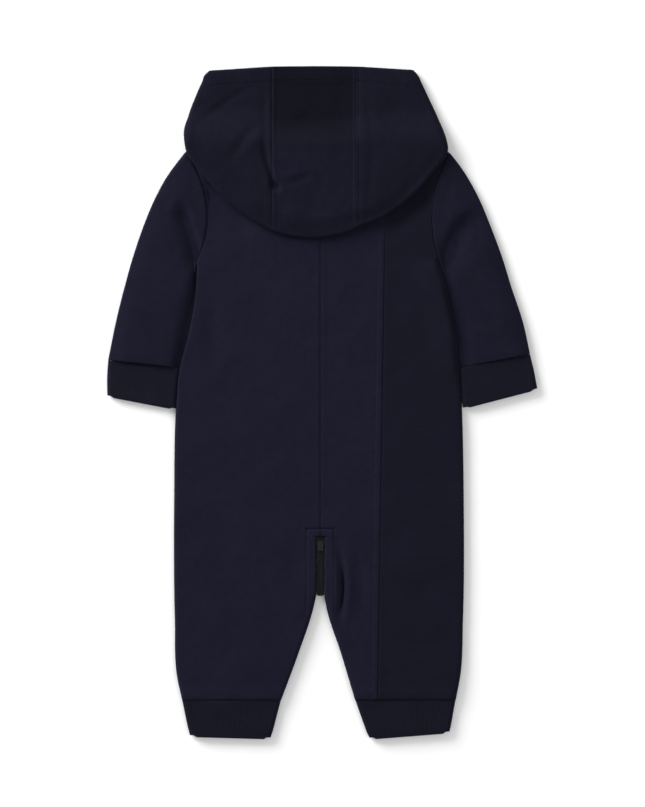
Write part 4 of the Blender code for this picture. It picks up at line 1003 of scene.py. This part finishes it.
def underToNeck(start, neckX, shares):
    # the lower cloth, level from the fold to the neck seam of the back
    end = np.stack([neckX, backTop(neckX) - 0.6], axis=1)
    under = start[:, None] + (end - start)[:, None] * shares[:, None]
    return np.concatenate([under, np.full((*under.shape[:2], 1), hood["base"])], axis=2)


def hoodSideFloor(side, t, arc, hold):
    # the lower cloth from the face edge to the shoulder, and where it meets the front neck seam
    inwards, under = -outwards[side], hood["under"]
    border = shoulderBorder(side)
    startX, endX = border[0, 0], border[-1, 0]
    share = np.minimum(np.abs((border[:, 0] - startX) / (endX - startX)), 1.0)
    sway = border[:, :2] - lerp(border[0, :2], border[-1, :2], share[:, None])
    floorT, backT = t[t <= 1.0], t[t >= 1.0]
    corner = np.array([hoodOutline[side + "X"][0] + inwards * 12.0, hoodOutline[side + "Y"][0] - 1.0])
    bow = 4.0 * hood["faceBow"] * floorT * (1.0 - floorT)
    end = lerp(corner, border[-1, :2], floorT[:, None]) + bow[:, None] * np.array([0.6 * inwards, 0.8])
    start = arc[:len(floorT), -1, :2]
    floor = start[:, None] + (end - start)[:, None] * share[:, None] + sway * ease(floorT)[:, None, None]
    floorZ = border[:, 2] * (1.0 - hold[:len(floorT), None])
    floor = np.concatenate([floor, floorZ[..., None]], axis=2)
    floor[:, 0] = arc[:len(floorT), -1]
    first = len(t) - len(backT)
    neckX = lerp(border[under, 0], hood["neckSeamX"][side] - inwards * halfSeam, ease(backT - 1.0))
    back = underToNeck(arc[first:, -1, :2], neckX, np.linspace(0.0, 1.0, under + 1))
    back[:, 0] = arc[first:, -1]
    back[0] = floor[-1, :under + 1]
    return floor, back


def hoodSide(side):
    t = hoodStations()
    fold = readPoints(hoodOutline, "t", (side + "X", side + "Y"), t)
    seamY = readTable(hoodOutline, "t", "seamY", t)
    seam = np.stack([np.full(len(t), hood["seamX"][side] + outwards[side] * halfSeam), seamY], axis=1)
    fromHem = hood["hemY"] - seamY
    hold = np.where(t < 1.0, ease((1.0 - t) / 0.14), 0.0)
    base = hood["base"] * (1.0 - hold)
    hemDrop = 1.2 * quarterFall(fromHem, 1.7)
    sink = bottomSink(fold[:, 0]) * ease((t - 0.9) / 0.3)
    top = hoodHeight(fold[:, 0], fold[:, 1], -sink) - hemDrop
    arc = foldArc(fold, unit(fold - seam), base + hemDrop * 0.6, top)
    innerEnd = arc[:, 0, :2]
    length = np.linalg.norm(innerEnd - seam, axis=1)
    near = np.array([0.0, 0.2, 0.5, 0.9, 1.4, 2.1, 3.0, 4.0])
    steps = near * np.minimum(1.0, 0.5 * length / near[-1])[:, None]
    rest = np.linspace(0.0, 1.0, 40)[1:-1]
    along = np.concatenate([steps, steps[:, -1:] + (length[:, None] - steps[:, -1:]) * rest], axis=1)
    spots = seam[:, None] + unit(innerEnd - seam)[:, None] * along[..., None]
    upper = upperCloth(spots[..., 0], spots[..., 1], fromHem[:, None], length[:, None] - along, top, sink)
    patches = [np.concatenate([upper, arc], axis=1), *hoodSideFloor(side, t, arc, hold)]
    return patches if side == "left" else [points[:, ::-1] for points in patches]


def hoodCentre():
    leftX, rightX = hood["seamX"]["left"] - hood["lap"], hood["seamX"]["right"] + hood["lap"]
    wide = rightX - leftX
    near = np.array([0.0, 0.2, 0.5, 0.9, 1.4, 2.1, 3.0, 3.8, 4.4, 4.9, 5.5, 6.2]) / wide
    across = np.concatenate([near, np.linspace(0.1, 0.9, 34), 1.0 - near[::-1]])
    t = hoodStations()
    x = lerp(leftX, rightX, across)[:, None] * np.ones(len(t))
    seamY = readTable(hoodOutline, "t", "seamY", t)
    arch = (4.0 * across * (1.0 - across))[:, None]
    y = seamY + 0.5 * arch * (1.0 - t / 2) - hood["bottomBow"] * arch * (t / 2) ** 3
    fromHem = (hood["hemY"] - seamY)[None] * np.ones(len(across))[:, None]
    foldY = lerp(hoodOutline["leftY"][-1], hoodOutline["rightY"][-1], across) - hood["bottomBow"] * arch[:, 0]
    fold = np.stack([x[:, 0], foldY], axis=1)
    sink = bottomSink(fold[:, 0])
    top = hoodHeight(fold[:, 0], fold[:, 1], -sink) - 0.65 * quarterFall((1.0 - across) * wide, 1.3)
    arc = foldArc(fold, np.tile([0.0, -1.0], (len(across), 1)), np.full(len(across), hood["base"]), top)
    fromFold = y - arc[:, :1, 1]
    upper = upperCloth(x, y, fromHem, fromFold, top, sink)[:, fromFold.min(axis=0) > 0.6]
    neckX = lerp(hood["neckSeamX"]["left"], hood["neckSeamX"]["right"], across)
    under = underToNeck(arc[:, -1, :2], neckX, np.linspace(0.0, 1.0, 9)[1:])
    return [np.concatenate([upper, arc, under], axis=1)]


for side in ("left", "right"):
    makeCloth(f"hood{side.capitalize()}Cloth", hoodSide(side), hoodSideFleece, "hood_" + side)
makeCloth("hoodCentreCloth", hoodCentre(), hoodCentreFleece, "hood_centre")
print("hood laid")


# Zip: two tapes and a closed coil, from the back opening round the crotch to the front neck.

zipPart = {
    "depthBack": 1.1, "depthFront": 2.0, "tapeWidth": 7.4, "tapeThick": 0.5, "coilDepth": 1.0,
    "pitch": 1.25, "tooth": (2.5, 0.62, 0.85), "sliderY": 211.0, "sliderLength": 9.0,
}


def zipPath(spacing):
    # y, z of the coil's face and the way it faces, from the back opening round to the front neck
    backZ, frontZ = garment["bodyHeight"] - zipPart["depthBack"], zipPart["depthFront"]
    radius = (backZ - frontZ) / 2
    turnY, turnZ = garment["crotchY"] + radius, frontZ + radius
    startY = zipOpening["topY"] - 0.3
    endY = zipPart["sliderY"] - zipPart["sliderLength"] / 2 - 0.3
    back, arc, front = startY - turnY, math.pi * radius, endY - turnY
    at = np.arange(0.0, back + arc + front, spacing)
    angle = math.pi / 2 - np.clip((at - back) / radius, 0.0, math.pi)
    faceY, faceZ = -np.cos(angle), np.sin(angle)
    y = turnY + radius * faceY + np.maximum(0.0, back - at) + np.maximum(0.0, at - back - arc)
    return y, turnZ + radius * faceZ, faceY, faceZ


def copies(name, template, places, alongs, ups, material):
    # one mesh of many copies of a small modelled shape, each turned along its line
    shape = np.array([corner.co for corner in template.data.vertices])
    faces = [list(face.vertices) for face in template.data.polygons]
    sides = np.cross(ups, alongs)
    points = (places[:, None] + shape[None, :, :1] * alongs[:, None] + shape[None, :, 1:2] * sides[:, None]
              + shape[None, :, 2:] * ups[:, None]).reshape(-1, 3)
    mesh = bpy.data.meshes.new(name)
    mesh.from_pydata(points.tolist(), [], [[corner + k * len(shape) for corner in face]
                                           for k in range(len(places)) for face in faces])
    mesh.shade_smooth()
    mesh.materials.append(material)
    piece = bpy.data.objects.new(name, mesh)
    bpy.context.scene.collection.objects.link(piece)
    bpy.data.objects.remove(template, do_unlink=True)
    return piece


def makeTooth():
    bpy.ops.object.select_all(action="DESELECT")
    bpy.ops.mesh.primitive_cube_add(size=1.0)
    tooth = bpy.context.object
    tooth.data.transform(Matrix.Diagonal((*(v * mm for v in zipPart["tooth"]), 1.0)))
    soften = tooth.modifiers.new("Round wire", "BEVEL")
    soften.width, soften.segments = 0.2 * mm, 1
    bpy.ops.object.modifier_apply(modifier=soften.name)
    return tooth


def makeZip():
    y, z, faceY, faceZ = zipPath(1.5)
    half = zipPart["tapeWidth"] / 2
    across = np.array([-1.0, -0.8, -0.45, -0.06, 0.0, 0.06, 0.45, 0.8, 1.0]) * half
    dip = np.array([0.0, 0.0, 0.0, 0.0, 0.35, 0.0, 0.0, 0.0, 0.0])
    depth = zipPart["coilDepth"] - 0.25 + dip
    tape = np.stack([centreX + across[None] * np.ones(len(y))[:, None],
                     y[:, None] - faceY[:, None] * depth, z[:, None] - faceZ[:, None] * depth], axis=2)
    strip = layPatch(tape[::-1])
    strip.name = strip.data.name = "zipTapes"
    addWall(strip, "Tape thickness", zipPart["tapeThick"], False)
    bpy.ops.object.shade_smooth_by_angle(angle=math.radians(50.0))
    y, z, faceY, faceZ = zipPath(zipPart["pitch"] / 2)
    turns = np.where(np.arange(len(y)) % 2 == 0, -1.0, 1.0)      # teeth stand left and right in turn
    toothWidth, _, toothHeight = zipPart["tooth"]
    sink = toothHeight / 2 - 0.05
    places = np.stack([centreX + turns * (toothWidth / 2 - 0.05), y - faceY * sink, z - faceZ * sink], axis=1)
    alongs = np.tile([1.0, 0.0, 0.0], (len(y), 1))
    ups = np.stack([np.zeros(len(y)), faceY, faceZ], axis=1)
    coil = copies("zipCoilTeeth", makeTooth(), places * mm, alongs, ups, zipCoil)
    finishPiece(strip, "zip_strip", zipTape)
    finishPiece(coil, "zip_strip", zipCoil)
    for node, material in (("zip_stop", stopPlastic), ("zip_slider", darkMetal), ("zip_pull", darkMetal)):
        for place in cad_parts[node].material_slots:
            place.material = material
    print(f"zip laid, {len(y)} teeth")


makeZip()


# Sewing: rows of small raised stitches laid on the cloth.

sewing = {"length": 2.3, "gap": 1.0, "thread": 0.36, "reach": 0.92}


def makeStitch():
    bpy.ops.object.select_all(action="DESELECT")
    bpy.ops.mesh.primitive_uv_sphere_add(segments=6, ring_count=5, radius=1.0)
    stitch = bpy.context.object
    half = sewing["length"] / 2 * mm
    for corner in stitch.data.vertices:
        x, y, z = corner.co
        bulge = math.sqrt(max(0.0, 1.0 - abs(z) ** 3))
        across = math.hypot(x, y) or 1.0
        corner.co = (z * half, y / across * bulge * sewing["thread"] / 2 * mm,
                     x / across * bulge * sewing["thread"] / 2 * mm)
    return stitch


def sewRows(name, lines, clothNames, fromAbove=True):
    # every stitch lies between two points of the cloth, found by looking down or up at it
    graph = bpy.context.evaluated_depsgraph_get()
    trees = [BVHTree.FromObject(bpy.data.objects[clothName], graph) for clothName in clothNames]
    way, startZ = (Vector((0, 0, -1)), 0.04) if fromAbove else (Vector((0, 0, 1)), -0.02)
    places, alongs, ups = [], [], []
    for line in lines:
        points = smoothLine(line, 0.25)
        run = lengthsAlong(points)
        pitch = sewing["length"] + sewing["gap"]
        for at in np.arange(pitch / 2, run[-1] - pitch / 2, pitch):
            ends = []
            for off in (-sewing["reach"], sewing["reach"]):
                x, y = (float(np.interp(at + off, run, points[:, k])) * mm for k in (0, 1))
                spot = Vector((x, y, startZ))
                hits = [tree.ray_cast(spot, way) for tree in trees]
                hits = [hit for hit in hits if hit[0] is not None]
                if hits:
                    ends.append(min(hits, key=lambda hit: hit[3]))
            if len(ends) == 2:
                along = (ends[1][0] - ends[0][0]).normalized()
                up = (ends[0][1] + ends[1][1]).normalized()
                up = (up - along * up.dot(along)).normalized()
                places.append((ends[0][0] + ends[1][0]) / 2 + up * sewing["thread"] * 0.12 * mm)
                alongs.append(along)
                ups.append(up)
    piece = copies(name, makeStitch(), np.array(places), np.array(alongs), np.array(ups), thread)
    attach(piece, "garment")
    print(f"{name}: {len(places)} stitches")


def makeSewing():
    bpy.context.view_layer.update()
    rows = []
    for offset in body["sideStitches"]:
        ys = np.linspace(150.0, garment["legEndY"] + 3.0, 5)
        rows.append([(float(sideSeamX(y)) - offset, y) for y in ys])
    sewRows("sideSeamStitches", rows, ["backRightCloth"])
    left, right, topY = zipOpening["stitchLeft"], zipOpening["stitchRight"], zipOpening["stitchTop"]
    foot = garment["crotchY"] - 4.0
    sewRows("zipBoxStitches", [[(left, topY), (right, topY)], [(left, topY), (left, foot)],
                               [(right, topY), (right, foot)]], ["backLeftCloth", "backRightCloth"])
    hoodRows, seamX = [], hood["seamX"]
    for side in ("left", "right"):
        x = seamX[side] - outwards[side] * hood["seamStitch"][side]
        hoodRows.append([(x, 307.0), (x, 162.0)])
    stitchY = hood["hemY"] - hood["hemStitch"]
    hoodRows.append([(seamX["left"] + 0.5, stitchY), (hood["middleX"], stitchY + 0.4),
                     (seamX["right"] - 0.5, stitchY)])
    sewRows("hoodCentreStitches", hoodRows, ["hoodCentreCloth"])
    hemRows = []
    t = float(np.interp(hood["hemStitch"], hood["hemY"] - np.array(hoodOutline["seamY"]), hoodOutline["t"]))
    for side in ("left", "right"):
        foldX, foldY = (float(readTable(hoodOutline, "t", side + way, t)) for way in ("X", "Y"))
        hemRows.append([(seamX[side], stitchY), (lerp(seamX[side], foldX, 0.96), lerp(stitchY, foldY, 0.96))])
    sewRows("hoodHemStitches", hemRows, ["hoodLeftCloth", "hoodRightCloth"])
    offset = zipOpening["gap"] / 2 + zipOpening["frontStitch"]
    frontRows = [[(centreX + way * offset, garment["crotchY"] + 2.0), (centreX + way * offset, 214.0)]
                 for way in (-1.0, 1.0)]
    sewRows("frontZipStitches", frontRows, ["frontLeftCloth", "frontRightCloth"], False)


makeSewing()
print("sewing done")


# Floor, light and camera.

studio = {
    "distance": 3000.0, "viewHeight": 742.4, "aimX": 0.46, "aimY": -0.9,
    "lamps": {"key": {"place": (-1.95, 1.72, 0.95), "size": 1.88, "power": 145.0},
              "fill": {"place": (1.6, -0.6, 2.4), "size": 2.2, "power": 20.0}},
    "sky": 0.6,
}


def makeStudio():
    bpy.ops.object.select_all(action="DESELECT")
    bpy.ops.mesh.primitive_plane_add(size=6.0, location=(0, 0, -0.3 * mm))
    floor = bpy.context.object
    floor.name = "floor"
    paper, shader, place = startFinish("paper", 0.9)
    grain = place.noise(place, 40.0, 2.0)
    colour = place.tint(grain, (0.86, 0.86, 0.862, 1.0), (0.88, 0.88, 0.88, 1.0))
    endFinish(shader, place, colour, grain, 0.02)
    floor.data.materials.append(paper)
    for name, setting in studio["lamps"].items():
        lamp = bpy.data.lights.new(name, "AREA")
        lamp.shape, lamp.size, lamp.energy = "DISK", setting["size"], setting["power"]
        light = bpy.data.objects.new(name, lamp)
        light.location = setting["place"]
        light.rotation_euler = (-Vector(setting["place"])).to_track_quat("-Z", "Y").to_euler()
        bpy.context.scene.collection.objects.link(light)
    world = bpy.data.worlds.new("studio")
    world.use_nodes = True
    sky = world.node_tree.nodes["Background"]
    sky.inputs["Color"].default_value = (1.0, 1.0, 1.0, 1.0)
    sky.inputs["Strength"].default_value = studio["sky"]
    bpy.context.scene.world = world
    lens = bpy.data.cameras.new("camera")
    lens.sensor_width = 36.0
    lens.lens = 36.0 * studio["distance"] / studio["viewHeight"]
    lens.clip_start, lens.clip_end = 0.1, 20.0
    camera = bpy.data.objects.new("camera", lens)
    height = studio["distance"] + garment["bodyHeight"]
    camera.location = (studio["aimX"] * mm, studio["aimY"] * mm, height * mm)
    bpy.context.scene.collection.objects.link(camera)
    bpy.context.scene.camera = camera
    bpy.context.scene.view_settings.view_transform = "Standard"
    print("studio lit")


makeStudio()
